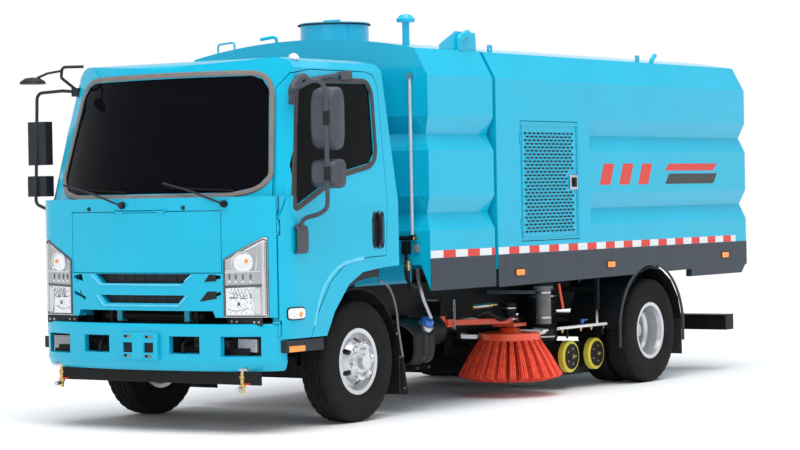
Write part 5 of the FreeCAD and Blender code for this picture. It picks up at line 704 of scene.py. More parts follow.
def grille():
    """Mesh ribs, dark plates in the grille's corners as painted shade for its openings there, and lighter
    strips as painted highlight on the lips of its two slots.
    """
    ribs = Piece("grille_ribs", "cab", PLASTIC)
    for k in range(15):
        x = -0.60 + 0.0857 * k
        ribs.lay(GRILLE, [(x, 0.820), (x, 1.014)], 0.010, 0.006)
    for z in (0.845, 0.868, 0.972, 0.996):
        ribs.lay(GRILLE, [(-0.61, z), (0.61, z)], 0.008, 0.005, step=0.06)
    ribs.finish()
    plate_bracket()
    # dark plates painted as the shade of the corner openings
    wings = Piece("grille_corner_shade", "cab", HOLE_SHADE)
    for corners in ([(-0.640, 0.974), (-0.586, 0.967), (-0.560, 1.012), (-0.640, 1.010)],
                    [(0.497, 0.967), (0.585, 0.972), (0.585, 1.010), (0.533, 1.012)],
                    [(-0.636, 0.866), (-0.517, 0.847), (-0.556, 0.908), (-0.636, 0.908)],
                    [(0.462, 0.842), (0.585, 0.860), (0.585, 0.906), (0.520, 0.906)]):
        wings.plate([(x, NOSE.cast(x, 1.016)[0].y - 0.003, z) for x, z in corners], 0.004)
    wings.finish()
    # lighter blue strips painted as highlight along the slots' lips
    edges = Piece("grille_slot_highlights", "cab", PAINT_HIGHLIGHT)
    for path in ([(-0.436, 1.012), (-0.360, 0.950), (0.318, 0.946), (0.402, 1.010)],
                 [(-0.385, 0.880), (-0.325, 0.814), (0.300, 0.813), (0.370, 0.879)]):
        edges.lay(NOSE, path, 0.011, 0.007, step=0.02)
    edges.finish()


def studs_on_nose(name, mat, spots, height, profile, steps):
    """Small turned parts that stand on the nose."""
    piece = Piece(name, "cab", mat)
    for x in spots:
        point, normal = NOSE.cast(x, height)
        piece.lathe(profile, normal, point, steps)
    piece.finish()


def front_lamps():
    """Fog lamps behind the bumper, and the bolted strips under the corner lamps."""
    for word, side in SIDES:
        lens = Piece(f"fog_lens_{word}", "chassis", BEZEL)
        lens.box((0.700, 0.850), (-3.152, -3.128), (0.520, 0.604))
        for k in range(8):
            lens.box((0.708, 0.842), (-3.157, -3.150), (0.525 + 0.0095 * k, 0.531 + 0.0095 * k))
        lens.finish(bevel=0.004, segments=3, side=side, replaces=("chassis_lamps",) if side > 0 else ())
        strip = Piece(f"lamp_bracket_{word}", "cab", PLASTIC)
        strip.box((0.630, 0.900), (-3.158, -3.148), (0.690, 0.738))
        strip.finish(bevel=0.003, side=side)
        bolts = Piece(f"lamp_bracket_bolts_{word}", "cab", ZINC)
        for x in (0.66, 0.70, 0.84, 0.875):
            bolts.bolt((x, -3.158, 0.712), -Y, 0.008)
        bolts.finish(side=side)


def front_nozzles():
    """Brass spray nozzles and red taps under the bumper."""
    brass = Piece("front_nozzle_brass", "chassis", BRASS)
    taps = Piece("front_nozzle_taps", "chassis", RED)
    for x in (-0.758, 0.758):
        brass.lathe([(0.262, 0), (0.264, 0.012), (0.300, 0.016), (0.304, 0.022), (0.318, 0.022),
                     (0.322, 0.014), (0.352, 0.014), (0.356, 0.020), (0.372, 0.020), (0.376, 0.013),
                     (0.395, 0.013)], Z, (x, -3.186, 0), 18)
        taps.box((x + 0.01, x + 0.062), (-3.196, -3.184), (0.3165, 0.3275))
        taps.lathe([(0, 0.010), (0.014, 0.008)], Z, (x, -3.186, 0.322), 10)
    brass.finish()
    taps.finish(bevel=0.003)


grille()
studs_on_nose("wiper_knobs", BLACK, (-0.140, 0.650), 1.462,
              [(0, 0.024), (0.020, 0.022), (0.030, 0.014), (0.034, 0)], 18)
studs_on_nose("washer_jets", PLASTIC, (-0.45, 0.35), 1.440, [(0, 0.014), (0.008, 0.012), (0.014, 0)], 14)
blades = Piece("wiper_blades", "cab", RUBBER)
for inner, outer in ((-0.600, -0.130), (0.190, 0.660)):
    blades.lay(SCREEN_GLASS, [(inner, 1.570), (outer, 1.540)], 0.016, 0.022, step=0.05)
blades.finish()
dome = Piece("roof_lamp_dome", "cab", LENS_WHITE)
dome.lathe([(0, 0.036), (0.012, 0.036), (0.026, 0.028), (0.036, 0.014), (0.038, 0)], Z,
           (0.846, -2.70, 2.385), 22)
dome.finish()
front_lamps()
front_nozzles()

# ---------------------------------------------------------------- mirrors

MIRROR = material("mirror_housing", (0.055, 0.062, 0.078), 0.42, spec=0.35, vary=0.1, scale=20, bump=0.15,
                  bump_scale=400)
MIRROR_POST = Vector((1.25, -2.93, 0))
HEAD_SHIFT = Vector((-0.062, 0.115, 0))
HEAD_LAYERS = [(0.045, 0.97), (0.040, 1.0), (0.0, 1.0), (-0.045, 0.93), (-0.075, 0.74), (-0.086, 0.60)]
GLASS_LAYERS = [(0.040, 1.0), (0.0465, 1.0), (0.047, 0.97)]


def left_mirrors():
    """The two left mirror heads, their tube, its brackets on the door and the collars between."""
    body = "cab_door_left"
    for name, mat, layers, sizes in (("heads", MIRROR, HEAD_LAYERS, ((0.103, 0.200), (0.110, 0.094))),
                                     ("glass", CHROME, GLASS_LAYERS, ((0.094, 0.190), (0.100, 0.085)))):
        piece = Piece(f"mirror_{name}_left", body, mat)
        for z, half in zip((1.990, 1.640), sizes):
            piece.pod(MIRROR_POST + HEAD_SHIFT + Z * z, half, layers)
        piece.finish(replaces=("mirrors_left",) if name == "heads" else ())
    collars = Piece("mirror_collars_left", body, SEAL)
    x, y, _ = MIRROR_POST
    for z in (1.99, 1.64):
        collars.lathe([(-0.045, 0.017), (-0.042, 0.021), (0.042, 0.021), (0.045, 0.017)], Z,
                      (x, y + 0.016, z), 16)
        collars.box((x - 0.012, x + 0.012), (y + 0.010, y + 0.06), (z - 0.020, z + 0.020))
    collars.finish(bevel=0.002)
    tube = Piece("mirror_tube_left", body, MIRROR)
    tube.tube([(0.975, -2.905, 2.178), (1.05, -2.95, 2.180), (1.17, -2.985, 2.215),
               (1.225, -2.965, 2.225), (1.250, -2.925, 2.180), (1.250, -2.915, 2.10),
               (1.250, -2.915, 1.80), (1.250, -2.915, 1.54), (1.250, -2.915, 1.47),
               (1.235, -2.913, 1.420), (1.170, -2.910, 1.385), (1.075, -2.912, 1.362),
               (1.042, -2.915, 1.325), (1.038, -2.915, 1.295)], 0.0145, 12, 6)
    tube.finish()
    foot = Piece("mirror_brackets_left", body, MIRROR)
    foot.pod((1.030, -2.905, 1.225), (0.020, 0.088),
             [(-0.066, 0.9), (-0.058, 1.0), (0.052, 1.0), (0.060, 0.9)], 4)
    foot.pod((1.012, -2.905, 1.302), (0.026, 0.020),
             [(-0.046, 0.9), (-0.040, 1.0), (0.034, 1.0), (0.040, 0.9)], 3)
    foot.tube([(0.945, -2.870, 2.09), (0.965, -2.885, 2.15), (0.960, -2.86, 2.205), (0.945, -2.76, 2.265),
               (0.925, -2.67, 2.262)], [0.020, 0.028, 0.026, 0.022, 0.018], 10, 4)
    foot.tube([(0.925, -2.70, 2.245), (0.915, -2.29, 2.296)], 0.012, 10, 1)
    foot.box((0.888, 0.930), (-2.295, -2.165), (2.262, 2.318), Matrix.Rotation(0.1, 3, "X"))
    foot.finish(bevel=0.005)


left_mirrors()

# ---------------------------------------------------------------- stripes, markers and bands

SIDE_FACE = 1.0602
TAPE_TONES = (("red", RED), ("white", STRIPE_WHITE))
MARKERS = ((-0.318, 0.927), (1.003, 0.940), (2.899, 0.956))


def blocks_of(start, end, length):
    """Places and tones of tape blocks, white first."""
    out, place, tone = [], start, "white"
    while place < end - 0.004:
        out.append((place, min(place + length, end), tone))
        place, tone = place + length, "red" if tone == "white" else "white"
    return out


def side_tape(name, body, blocks):
    """Reflective tape along the body's foot, in red and white blocks of short cells."""
    for word, side in SIDES:
        for tone, mat in TAPE_TONES:
            piece = Piece(f"{name}_{tone}_{word}", body, mat)
            for a, b, colour in blocks:
                count = max(1, round((b - a) / 0.03)) if colour == tone else 0
                for k in range(count):
                    ends = a + (b - a) * k / count + 0.0006, a + (b - a) * (k + 1) / count
                    piece.box((SIDE_FACE, SIDE_FACE + 0.0012), ends, (1.062, 1.113))
            piece.finish(side=side)


def markers(size, height):
    """A builder of rounded plates at the three side markers' places."""
    def build(piece):
        for spot in MARKERS:
            piece.round_patch(SIDE, spot, size, height, 0.25)
    return build


def band(name, mat, cells):
    """A painted band of slanting cells, each (start, end, foot, top)."""
    def build(piece):
        for a, b, low, high in cells:
            piece.patch(SIDE, [(a, low), (b, low), (b + 0.07, high), (a + 0.07, high)], 0.0015,
                        max(4, round((b - a) / 0.012)), 4, sink=0.002)
    both_sides(name, "hopper", mat, build)


side_tape("tank_tape", "chassis", blocks_of(-1.466, -0.644, 0.1555))
side_tape("hopper_tape", "hopper", blocks_of(-0.594, 3.105, 0.139))
both_sides("side_marker", "hopper", AMBER, markers((0.112, 0.046), 0.012))
both_sides("side_marker_frame", "hopper", BLACK, markers((0.124, 0.056), 0.005))
band("band_red", RED, [(0.86 + 0.30 * k, 1.02 + 0.30 * k, 1.545, 1.705) for k in range(3)]
     + [(1.90, 2.72, 1.650, 1.705)])
band("band_charcoal", CHARCOAL, [(1.90, 2.72, 1.545, 1.625)])

# ---------------------------------------------------------------- service doors

def service_parts():
    """Perforations as dark ovals of painted shade, a latch in its slot and a raised edge on each service
    door.
    """
    spots = []
    for row in range(29):
        odd = row % 2
        spots += [(-0.212 + 0.060 * k + 0.030 * odd, 1.925 - 0.0254 * row) for k in range(12 - odd)
                  if row not in range(11, 17) or -0.212 + 0.060 * k + 0.030 * odd <= 0.385]
    turns = [TAU * k / 10 for k in range(10)]
    corners = [(-0.262, 1.175), (-0.262, 1.985), (0.520, 1.985), (0.520, 1.175)]
    for word, side in SIDES:
        body = f"service_door_{word}"
        # dark ovals: painted shade in the perforation holes
        holes = Piece(f"perforations_{word}", body, HOLE_SHADE)
        for y, z in spots:
            holes.plate([(1.0664, y + 0.0205 * math.cos(t), z + 0.0072 * math.sin(t)) for t in turns],
                        0.0005)
        holes.finish(smooth=False, side=side)
        latch = Piece(f"service_latch_{word}", body, ZINC)
        latch.box((1.066, 1.074), (0.404, 0.512), (1.514, 1.622))
        latch.finish(bevel=0.004, side=side)
        slot = Piece(f"service_latch_slot_{word}", body, BLACK)
        slot.box((1.0735, 1.0755), (0.420, 0.496), (1.532, 1.604))
        slot.box((1.075, 1.083), (0.446, 0.458), (1.545, 1.592))
        slot.finish(bevel=0.002, side=side)
        edge = Piece(f"service_edge_{word}", body, PAINT)
        for a, b in zip(corners, corners[1:] + corners[:1]):
            edge.tube([(1.0655 * side, *a), (1.0655 * side, *b)], 0.004, 6, 1)
        edge.finish()


service_parts()

# ---------------------------------------------------------------- tank front

def tank_front():
    """Valve, fittings, strap and hoses at the tank's front left corner, and the manhole's rim."""
    y = -1.470
    strap = Piece("tank_strap", "chassis", ALLOY)
    line = [Vector(p) for p in ((0.955, -1.478, 0.992), (0.958, -1.47, 0.90), (0.962, -1.42, 0.775),
                                (0.966, -1.335, 0.645))]
    for a, b in zip(line, line[1:]):
        strap.plate([a - Y * 0.018, a + Y * 0.018, b + Y * 0.018, b - Y * 0.018], 0.004)
    strap.finish()
    brass = Piece("tank_valve_brass", "chassis", BRASS)
    brass.lathe([(0, 0.010), (0.020, 0.014), (0.026, 0.020), (0.044, 0.020), (0.048, 0.012),
                 (0.070, 0.012)], Z, (0.900, y - 0.034, 0.975), 16)
    brass.lathe([(0, 0.016), (0.018, 0.016), (0.022, 0.010), (0.040, 0.010)], X,
                (0.930, y - 0.024, 1.200), 14)
    brass.finish()
    hose = Piece("tank_hose", "chassis", HOSE)
    hose.tube([(0.900, y - 0.034, 0.985), (0.903, y - 0.036, 0.92), (0.915, y - 0.010, 0.85),
               (0.930, y + 0.060, 0.800), (0.935, y + 0.150, 0.772), (0.930, y + 0.26, 0.768)], 0.011)
    hose.tube([(0.882, y - 0.034, 1.034), (0.880, y - 0.036, 0.96), (0.872, y + 0.01, 0.90),
               (0.860, y + 0.09, 0.868), (0.845, y + 0.20, 0.860)], 0.012)
    hose.finish()
    box = Piece("tank_valve_box", "chassis", GREY)
    box.box((0.940, 0.975), (y - 0.034, y + 0.004), (1.105, 1.155))
    box.finish(bevel=0.004)
    rim = Piece("manhole_rim", "tank_lid", SEAL)
    rim.lathe([(2.711, 0.255), (2.7125, 0.262), (2.7205, 0.262), (2.722, 0.255), (2.711, 0.255)], Z,
              (0, -1.065, 0), 56)
    rim.finish()


tank_front()

# ---------------------------------------------------------------- wheel fittings

def wheel_spot(skin, axle, radius, turn):
    """A place on a rim's outer face at a radius and turn about its axle."""
    return skin.cast(axle + radius * math.cos(turn), WHEEL_RADIUS + radius * math.sin(turn))[0]


def nuts(name, body, skin, axle, count=6, size=0.0155):
    """Wheel nuts on their seats, with the stud's end in each."""
    for word, side in SIDES:
        piece = Piece(f"{name}_nuts_{word}", f"{body}_{word}", CHROME)
        for k in range(count):
            at = wheel_spot(skin, axle, 0.111, TAU * (k + 0.25) / count)
            piece.lathe([(0, size * 1.25), (0.004, size * 1.25), (0.005, size)], X, at, 18)
            piece.lathe([(0.004, size), (0.022, size), (0.026, size * 0.8)], X, at, 6)
            piece.lathe([(0.020, size * 0.5), (0.034, size * 0.5), (0.036, size * 0.35), (0.036, 0)], X,
                        at, 12)
        piece.finish(bevel=0.0012, side=side)


nuts("front", "front_wheel", FRONT_RIM, FRONT_AXLE)
nuts("rear", "rear_wheels", REAR_RIM, REAR_AXLE)
for word, side in SIDES:
    for name, skin, axle in (("front_wheel", FRONT_RIM, FRONT_AXLE), ("rear_wheels", REAR_RIM, REAR_AXLE)):
        valve = Piece(f"{name}_valve_{word}", f"{name}_{word}", BRASS)
        foot = wheel_spot(skin, axle, 0.172, 0.9)
        valve.tube([foot, foot + X * 0.022, foot + Vector((0.034, 0.004, 0.006))], 0.0042, 8, 3)
        valve.finish(side=side)

# ---------------------------------------------------------------- bumper

BUMPER_HALF = [
    (0.0, -3.300), (0.060, -3.300), (0.120, -3.298), (0.180, -3.295), (0.250, -3.290), (0.325, -3.284),
    (0.400, -3.276), (0.480, -3.267), (0.560, -3.255), (0.630, -3.243), (0.700, -3.226), (0.770, -3.204),
    (0.830, -3.180), (0.885, -3.152), (0.925, -3.122), (0.955, -3.090), (0.975, -3.055), (0.985, -3.015)]
BUMPER_SECTION = [
    (-0.050, 0.398), (-0.030, 0.399), (-0.012, 0.412), (-0.003, 0.440), (0.004, 0.462), (0.001, 0.474),
    (0.0, 0.494), (0.0, 0.508), (0.0, 0.560), (0.0, 0.606), (0.0, 0.622), (0.0, 0.660), (-0.002, 0.686),
    (-0.008, 0.697), (-0.018, 0.700)]


def bumper_skin():
    """The bumper skin: a bent sheet with rounded ends, a crease low down and four openings."""
    piece = Piece("bumper_skin", "chassis", PAINT)
    bm = piece.bm
    line = [(-x, y) for x, y in BUMPER_HALF[:0:-1]] + BUMPER_HALF
    across, up = len(line) - 1, len(BUMPER_SECTION) - 1
    for v in bmesh.ops.create_grid(bm, x_segments=across, y_segments=up, size=1.0)["verts"]:
        i, j = round((v.co.x + 1) / 2 * across), round((v.co.y + 1) / 2 * up)
        way = (Vector(line[min(i + 1, across)]) - Vector(line[max(i - 1, 0)])).normalized()
        out, z = BUMPER_SECTION[j]
        v.co = Vector((*line[i], z)) + Vector((way.y, -way.x, 0)) * out
    openings = []
    for face in bm.faces:
        x, _, z = face.calc_center_median()
        fog = 0.630 < abs(x) < 0.885 and 0.494 < z < 0.622
        tow = 0.250 < abs(x) < 0.480 and 0.508 < z < 0.622
        if fog or tow:
            openings.append(face)
    bmesh.ops.delete(bm, geom=openings, context="FACES")
    rims = []
    for edge in open_edges(bm.verts):
        middle = (edge.verts[0].co + edge.verts[1].co) / 2
        if 0.24 < abs(middle.x) < 0.89 and 0.49 < middle.z < 0.63:
            rims.append(edge)
    moved = new_verts(bmesh.ops.extrude_edge_only(bm, edges=rims))
    for v in moved:
        v.co += Vector((0, 0.040, 0.006 if v.co.z < 0.55 else -0.006))
    piece.finish(replaces=("front_bumper",))


def bumper_carrier():
    """The black beam behind the openings, its brackets and the two towing loops."""
    carrier = Piece("bumper_carrier", "chassis", BLACK)
    for x in ((-0.60, -0.50), (-0.235, 0.235), (0.50, 0.60)):
        carrier.box(x, (-3.235, -3.150), (0.450, 0.640))
    carrier.box((-0.80, 0.80), (-3.165, -3.125), (0.455, 0.545))
    carrier.box((-0.745, 0.905), (-3.190, -3.175), (0.315, 0.398))
    for side in (-1, 1):
        carrier.box((0.640 * side, 0.868 * side), (-3.130, -3.120), (0.480, 0.640))
        carrier.tube([(0.345 * side, y, z) for y, z in ((-3.165, 0.455), (-3.24, 0.50), (-3.27, 0.545),
                                                        (-3.24, 0.590), (-3.165, 0.600))], 0.011, 10, 5)
    carrier.finish(bevel=0.004)


bumper_skin()
bumper_carrier()

# ---------------------------------------------------------------- tanks and flaps under the body

UREA_LAYERS = [(-0.130, 0.90), (-0.120, 0.97), (-0.060, 1.0), (-0.056, 0.985), (-0.048, 0.985),
               (-0.044, 1.0), (0.030, 1.0), (0.034, 0.985), (0.042, 0.985), (0.046, 1.0), (0.115, 0.98),
               (0.130, 0.90)]


def urea_tank():
    """The black additive tank: a rounded can with a slanted shoulder, ribs, a neck and a ribbed cap."""
    tank = Piece("urea_tank", "chassis", BLACK)
    tank.pod((0.795, -1.385, 0.478), (0.158, 0.155), UREA_LAYERS, 3.4, 44)
    for v in tank.bm.verts:
        if v.co.z > 0.52 and v.co.x > 0.80:
            v.co.z -= (v.co.x - 0.80) * 0.42 * (v.co.z - 0.52) / 0.113
    tank.finish(bevel=0.002)
    way = Vector((0.50, -0.05, 0.86)).normalized()
    foot = Vector((0.905, -1.318, 0.588))
    neck = Piece("urea_neck", "chassis", ZINC)
    neck.lathe([(-0.030, 0.050), (0.0, 0.050), (0.004, 0.056), (0.016, 0.056), (0.020, 0.048),
                (0.020, 0.0)], way, foot, 30)
    neck.finish()
    cap = Piece("urea_cap", "chassis", CAP_BLUE)
    made = cap.lathe([(0.018, 0.0), (0.018, 0.040), (0.026, 0.046), (0.052, 0.046), (0.060, 0.038),
                      (0.062, 0.0)], way, foot, 32)
    unturn = way.rotation_difference(Z)
    for v in made:
        spot = unturn @ (v.co - foot)
        step = round(math.atan2(spot.y, spot.x) / TAU * 32) % 32
        if spot.xy.length > 0.044 and step % 4 < 2:
            v.co -= (v.co - (foot + way * 0.04)).normalized() * 0.004
    cap.finish()


def fuel_tank():
    """The bright fuel tank, the cradles of both tanks and the fuel filler's cap."""
    fuel = Piece("fuel_tank", "chassis", ALLOY)
    fuel.box((-0.950, -0.375), (-1.480, -0.620), (0.330, 0.720))
    fuel.finish(bevel=0.045, segments=5)
    cradles = Piece("tank_cradles", "chassis", BLACK)
    for y in (-1.455, -1.315):
        cradles.box((0.375, 0.930), (y - 0.015, y + 0.015), (0.300, 0.322))
        cradles.box((0.375, 0.395), (y - 0.015, y + 0.015), (0.300, 0.640))
    for y in (-1.30, -0.80):
        cradles.box((-0.930, -0.375), (y - 0.02, y + 0.02), (0.305, 0.328))
        cradles.box((-0.395, -0.375), (y - 0.02, y + 0.02), (0.305, 0.700))
    cradles.finish(bevel=0.003, replaces=("side_tanks",))
    filler = Piece("fuel_cap", "chassis", BLACK)
    filler.lathe([(0.715, 0.0), (0.715, 0.045), (0.745, 0.045), (0.750, 0.036), (0.750, 0.0)], Z,
                 (-0.70, -0.74, 0), 26)
    filler.finish()


urea_tank()
fuel_tank()
GUARD = material("guard_edge", (0.035, 0.042, 0.052), 0.45, spec=0.3, vary=0.1, bump=0.1, bump_scale=200)
FLAP_LEAN = 0.22
FLAP_TOP = 0.60


def flaps():
    """Rubber flaps behind the front wheels with a steel strip, and the rolled edge of the rear guards."""
    for word, side in SIDES:
        flap = Piece(f"front_flap_{word}", "chassis", FLAP)
        for k in range(44):
            z = 0.142 + 0.0104 * k
            y = -1.700 + (FLAP_TOP - z) * FLAP_LEAN
            flap.box((0.700, 0.945), (y - 0.003, y + 0.004), (z, z + 0.0104),
                     Matrix.Rotation(FLAP_LEAN + (0.25 if k % 2 else 0.05), 3, "X"))
        flap.finish(side=side)
        strip = Piece(f"flap_strip_{word}", "chassis", GREY)
        strip.tube([(0.930 * side, -1.905, 0.930), (0.932 * side, -1.80, 0.885),
                    (0.936 * side, -1.742, 0.800), (0.940 * side, -1.712, 0.700),
                    (0.944 * side, -1.705, 0.600), (0.947 * side, -1.660, 0.400)], 0.0075, 8, 5)
        strip.finish()
        bolts = Piece(f"front_flap_bolts_{word}", "chassis", ZINC)
        for x, z in ((0.76, 0.555), (0.925, 0.560), (0.76, 0.385), (0.925, 0.400), (0.925, 0.185)):
            y = -1.700 + (FLAP_TOP - z) * FLAP_LEAN
            bolts.bolt((x, y + 0.006, z), Y, 0.009)
            bolts.bolt((x, y - 0.005, z), -Y, 0.009)
        bolts.finish(side=side)
        roll = Piece(f"rear_guard_edge_{word}", "chassis", GUARD)
        turns = [math.radians(178 - 172 * k / 24) for k in range(1, 25)]
        arc = [(1.055 * side, REAR_AXLE + 0.516 * math.cos(t), 0.412 + 0.510 * math.sin(t)) for t in turns]
        roll.tube([(1.052 * side, 1.150, 0.300)] + arc + [(1.052 * side, 2.172, 0.300)], 0.0105, 10, 2)
        roll.finish()


flaps()

# ---------------------------------------------------------------- side brushes

TUFTS = 26


def bristles(word, centre, rng):
    """Bundles of bristles that splay out and down from the disc, one fan at each of its holes."""
    tufts = Piece(f"bristles_{word}", f"side_brush_{word}", BRISTLE)
    for k in range(TUFTS):
        fan = Piece("fan", tufts.body, BRISTLE)
        t = TAU * k / TUFTS
        out, across = Vector((math.cos(t), math.sin(t), 0)), Vector((-math.sin(t), math.cos(t), 0))
        for n in range(12):
            u = n / 11
            for row in (-1, 0, 1):
                wide = row * (0.0060 + 0.0020 * u)
                root = centre + out * (0.150 + 0.070 * u) + across * wide + Z * 0.420
                knee = centre + out * (0.190 + 0.110 * u) + across * wide * 1.6 + Z * (0.275 + 0.018 * u)
                stray = rng.uniform(-0.002, 0.002)
                drop = 0.108 + 0.038 * u * u + rng.uniform(0, 0.008)
                tip = centre + out * (0.215 + 0.165 * u) + across * (wide * 2.2 + stray) + Z * drop
                fan.tube([root, knee, tip], [0.0045, 0.0075, 0.0085], 5, 2)
        tufts.take(fan)
    tufts.finish(replaces=(f"side_brush_{word}",))


def brush_lift(word, side, body):
    """The lifting cylinder with its brass ends, and three hoses to the motor."""
    lift = Piece(f"brush_lift_{word}", body, ZINC)
    lift.tube([(0.655 * side, -0.300, 0.672), (0.672 * side, -0.12, 0.676)], 0.019, 16, 1)
    lift.finish(bevel=0.002)
    ends = Piece(f"brush_lift_ends_{word}", body, BRASS)
    ends.tube([(0.652 * side, -0.335, 0.672), (0.655 * side, -0.298, 0.672)], 0.022, 16, 1)
    ends.tube([(0.672 * side, -0.122, 0.676), (0.678 * side, -0.03, 0.678)], 0.0105, 12, 1)
    ends.tube([(0.671 * side, -0.135, 0.676), (0.673 * side, -0.105, 0.6765)], 0.022, 16, 1)
    ends.finish()
    hoses = Piece(f"brush_hoses_{word}", body, HOSE)
    for n in range(3):
        x, z = (0.716 + 0.016 * n) * side, 0.005 * n
        hoses.tube([(x * 0.94, -0.345, 0.598 + z), (x, -0.27, 0.628 + z), (x, -0.16, 0.604 - z),
                    (x, -0.02, 0.560 + z), (x, 0.09, 0.580 + 2 * z), (x * 0.98, 0.118, 0.622)], 0.0085, 8,
                   6)
    hoses.finish()


def brush_chain(word, side):
    """The hanging chain: oval links, each a quarter turn from the last."""
    chain = Piece(f"brush_chain_{word}", f"brush_post_{word}", ZINC)
    for k in range(10):
        links = []
        for j in range(12):
            across, up = 0.0085 * math.cos(TAU * j / 12), 0.0145 * math.sin(TAU * j / 12)
            turned = (across, 0) if k % 2 else (0, across)
            links.append((0.508 * side + turned[0], -0.335 + turned[1], 0.712 - 0.0215 * k + up))
        chain.tube(links, 0.0026, 6, 1, closed=True)
    chain.finish()


def dust_hoses(word, side, centre, body):
    """Two white spray pipes bent round the brush, held by two stays."""
    def about(radius, turn, z):
        return centre.x + radius * math.cos(turn), centre.y + radius * math.sin(turn), z

    pipes = Piece(f"dust_hose_{word}", body, WHITE)
    start = 0.02 if side > 0 else 0.53 * math.pi
    for n in range(2):
        pipes.tube([about(0.262 + 0.018 * n, 0.45 * math.pi * k / 9 + start, 0.462 + 0.016 * n)
                    for k in range(10)], 0.0075, 8, 3)
    for t in (0.25, 1.15):
        turn = t if side > 0 else math.pi - t
        pipes.tube([about(0.27, turn, 0.470), about(0.12, turn, 0.478), about(0.06, turn, 0.480)], 0.005,
                   6, 2)
    pipes.finish()


def brushes():
    """A red disc with splayed bundles of bristles, its motor fittings, hoses and chain, on each side."""
    rng = random.Random(7)
    for word, side in SIDES:
        centre = Vector((BRUSH[0] * side, BRUSH[1], 0))
        body = f"brush_arm_{word}"
        disc = Piece(f"brush_disc_{word}", f"side_brush_{word}", ARM)
        disc.lathe([(0.408, 0.0), (0.408, 0.214), (0.412, 0.226), (0.455, 0.233), (0.462, 0.233),
                    (0.468, 0.226), (0.468, 0.196), (0.462, 0.190), (0.462, 0.090), (0.474, 0.082),
                    (0.500, 0.070), (0.502, 0.026), (0.504, 0.0)], Z, centre, 56)
        disc.finish(bevel=0.002)
        bristles(word, centre, rng)
        brush_lift(word, side, body)
        motor = Piece(f"brush_motor_bands_{word}", body, ZINC)
        for z in (0.640, 0.560, 0.520):
            motor.lathe([(z, 0.0525), (z + 0.002, 0.0565), (z + 0.010, 0.0565), (z + 0.012, 0.0525)], Z,
                        centre, 28)
        for k in range(4):
            t = TAU * (k + 0.5) / 4
            motor.bolt(centre + Vector((0.038 * math.cos(t), 0.038 * math.sin(t), 0.6395)), Z, 0.009)
        motor.finish()
        brush_chain(word, side)
        dust_hoses(word, side, centre, body)


brushes()

# ---------------------------------------------------------------- under the body

SUCTION_HOSE = (0.560, 0.790)
AIR_HOSE = (0.860, 0.340)


def under_parts():
    """Clamp bands, the orange tube, spray taps, nozzle wheel hubs and the fuel tank's straps."""
    bands = Piece("hose_clamps", "chassis", ZINC)
    for z in (0.392, 0.700, 0.905):
        bands.lathe([(z, 0.1265), (z + 0.001, 0.1285), (z + 0.011, 0.1285), (z + 0.012, 0.1265)], Z,
                    (*SUCTION_HOSE, 0), 40)
    for z in (0.560, 0.745):
        bands.lathe([(z, 0.0555), (z + 0.001, 0.0578), (z + 0.013, 0.0578), (z + 0.014, 0.0555)], Z,
                    (*AIR_HOSE, 0), 32)
    bands.finish()
    tube = Piece("orange_tube", "chassis", ARM)
    tube.tube([(0.930, 0.450, 0.812), (0.935, 0.462, 0.74), (0.940, 0.480, 0.66), (0.940, 0.486, 0.624)],
              0.0105, 10, 5)
    tube.finish()
    for word, side in SIDES:
        taps = Piece(f"spray_taps_{word}", "chassis", BRASS)
        for y in (0.486, 0.760, 0.918, 1.100):
            taps.lathe([(-0.034, 0.006), (-0.026, 0.009), (-0.010, 0.012), (0.0, 0.012)], Z,
                       (0.930, y, 0.478), 12)
        taps.finish(side=side)
        lever = Piece(f"spray_lever_{word}", "chassis", CAP_BLUE)
        lever.box((0.925, 0.939), (0.770, 0.862), (0.520, 0.530))
        lever.lathe([(0.502, 0.014), (0.520, 0.014), (0.534, 0.010)], Z, (0.932, 0.780, 0), 12)
        lever.finish(bevel=0.003, side=side)
        for name, y in (("front", 0.692), ("rear", 1.073)):
            hub = Piece(f"nozzle_hub_{name}_{word}", f"nozzle_wheels_{name}", BLACK)
            hub.lathe([(0.861, 0.0), (0.861, 0.092), (0.8935, 0.096), (0.8945, 0.088), (0.888, 0.080),
                       (0.888, 0.036), (0.897, 0.030), (0.901, 0.018), (0.901, 0.0)], X, (0, y, 0.255), 36)
            hub.finish(side=side)
            bolts = Piece(f"nozzle_hub_bolts_{name}_{word}", f"nozzle_wheels_{name}", BRASS)
            for k in range(5):
                t = TAU * k / 5
                bolts.bolt((0.888, y + 0.060 * math.cos(t), 0.255 + 0.060 * math.sin(t)), X, 0.008)
            bolts.bolt((0.901, y, 0.255), X, 0.016)
            bolts.finish(side=side)
    straps = Piece("fuel_tank_straps", "chassis", BLACK)
    for y in (-1.30, -1.05, -0.80):
        straps.box((-0.9535, -0.951), (y - 0.018, y + 0.018), (0.34, 0.71))
        straps.box((-0.9535, -0.39), (y - 0.018, y + 0.018), (0.7205, 0.7235))
    straps.finish(bevel=0.001)


under_parts()

# ---------------------------------------------------------------- rear

TAIL_LENSES = (("amber", AMBER, 0.785, 0.884), ("red", RED_LENS, 0.676, 0.782),
               ("clear", LENS_WHITE, 0.566, 0.673))


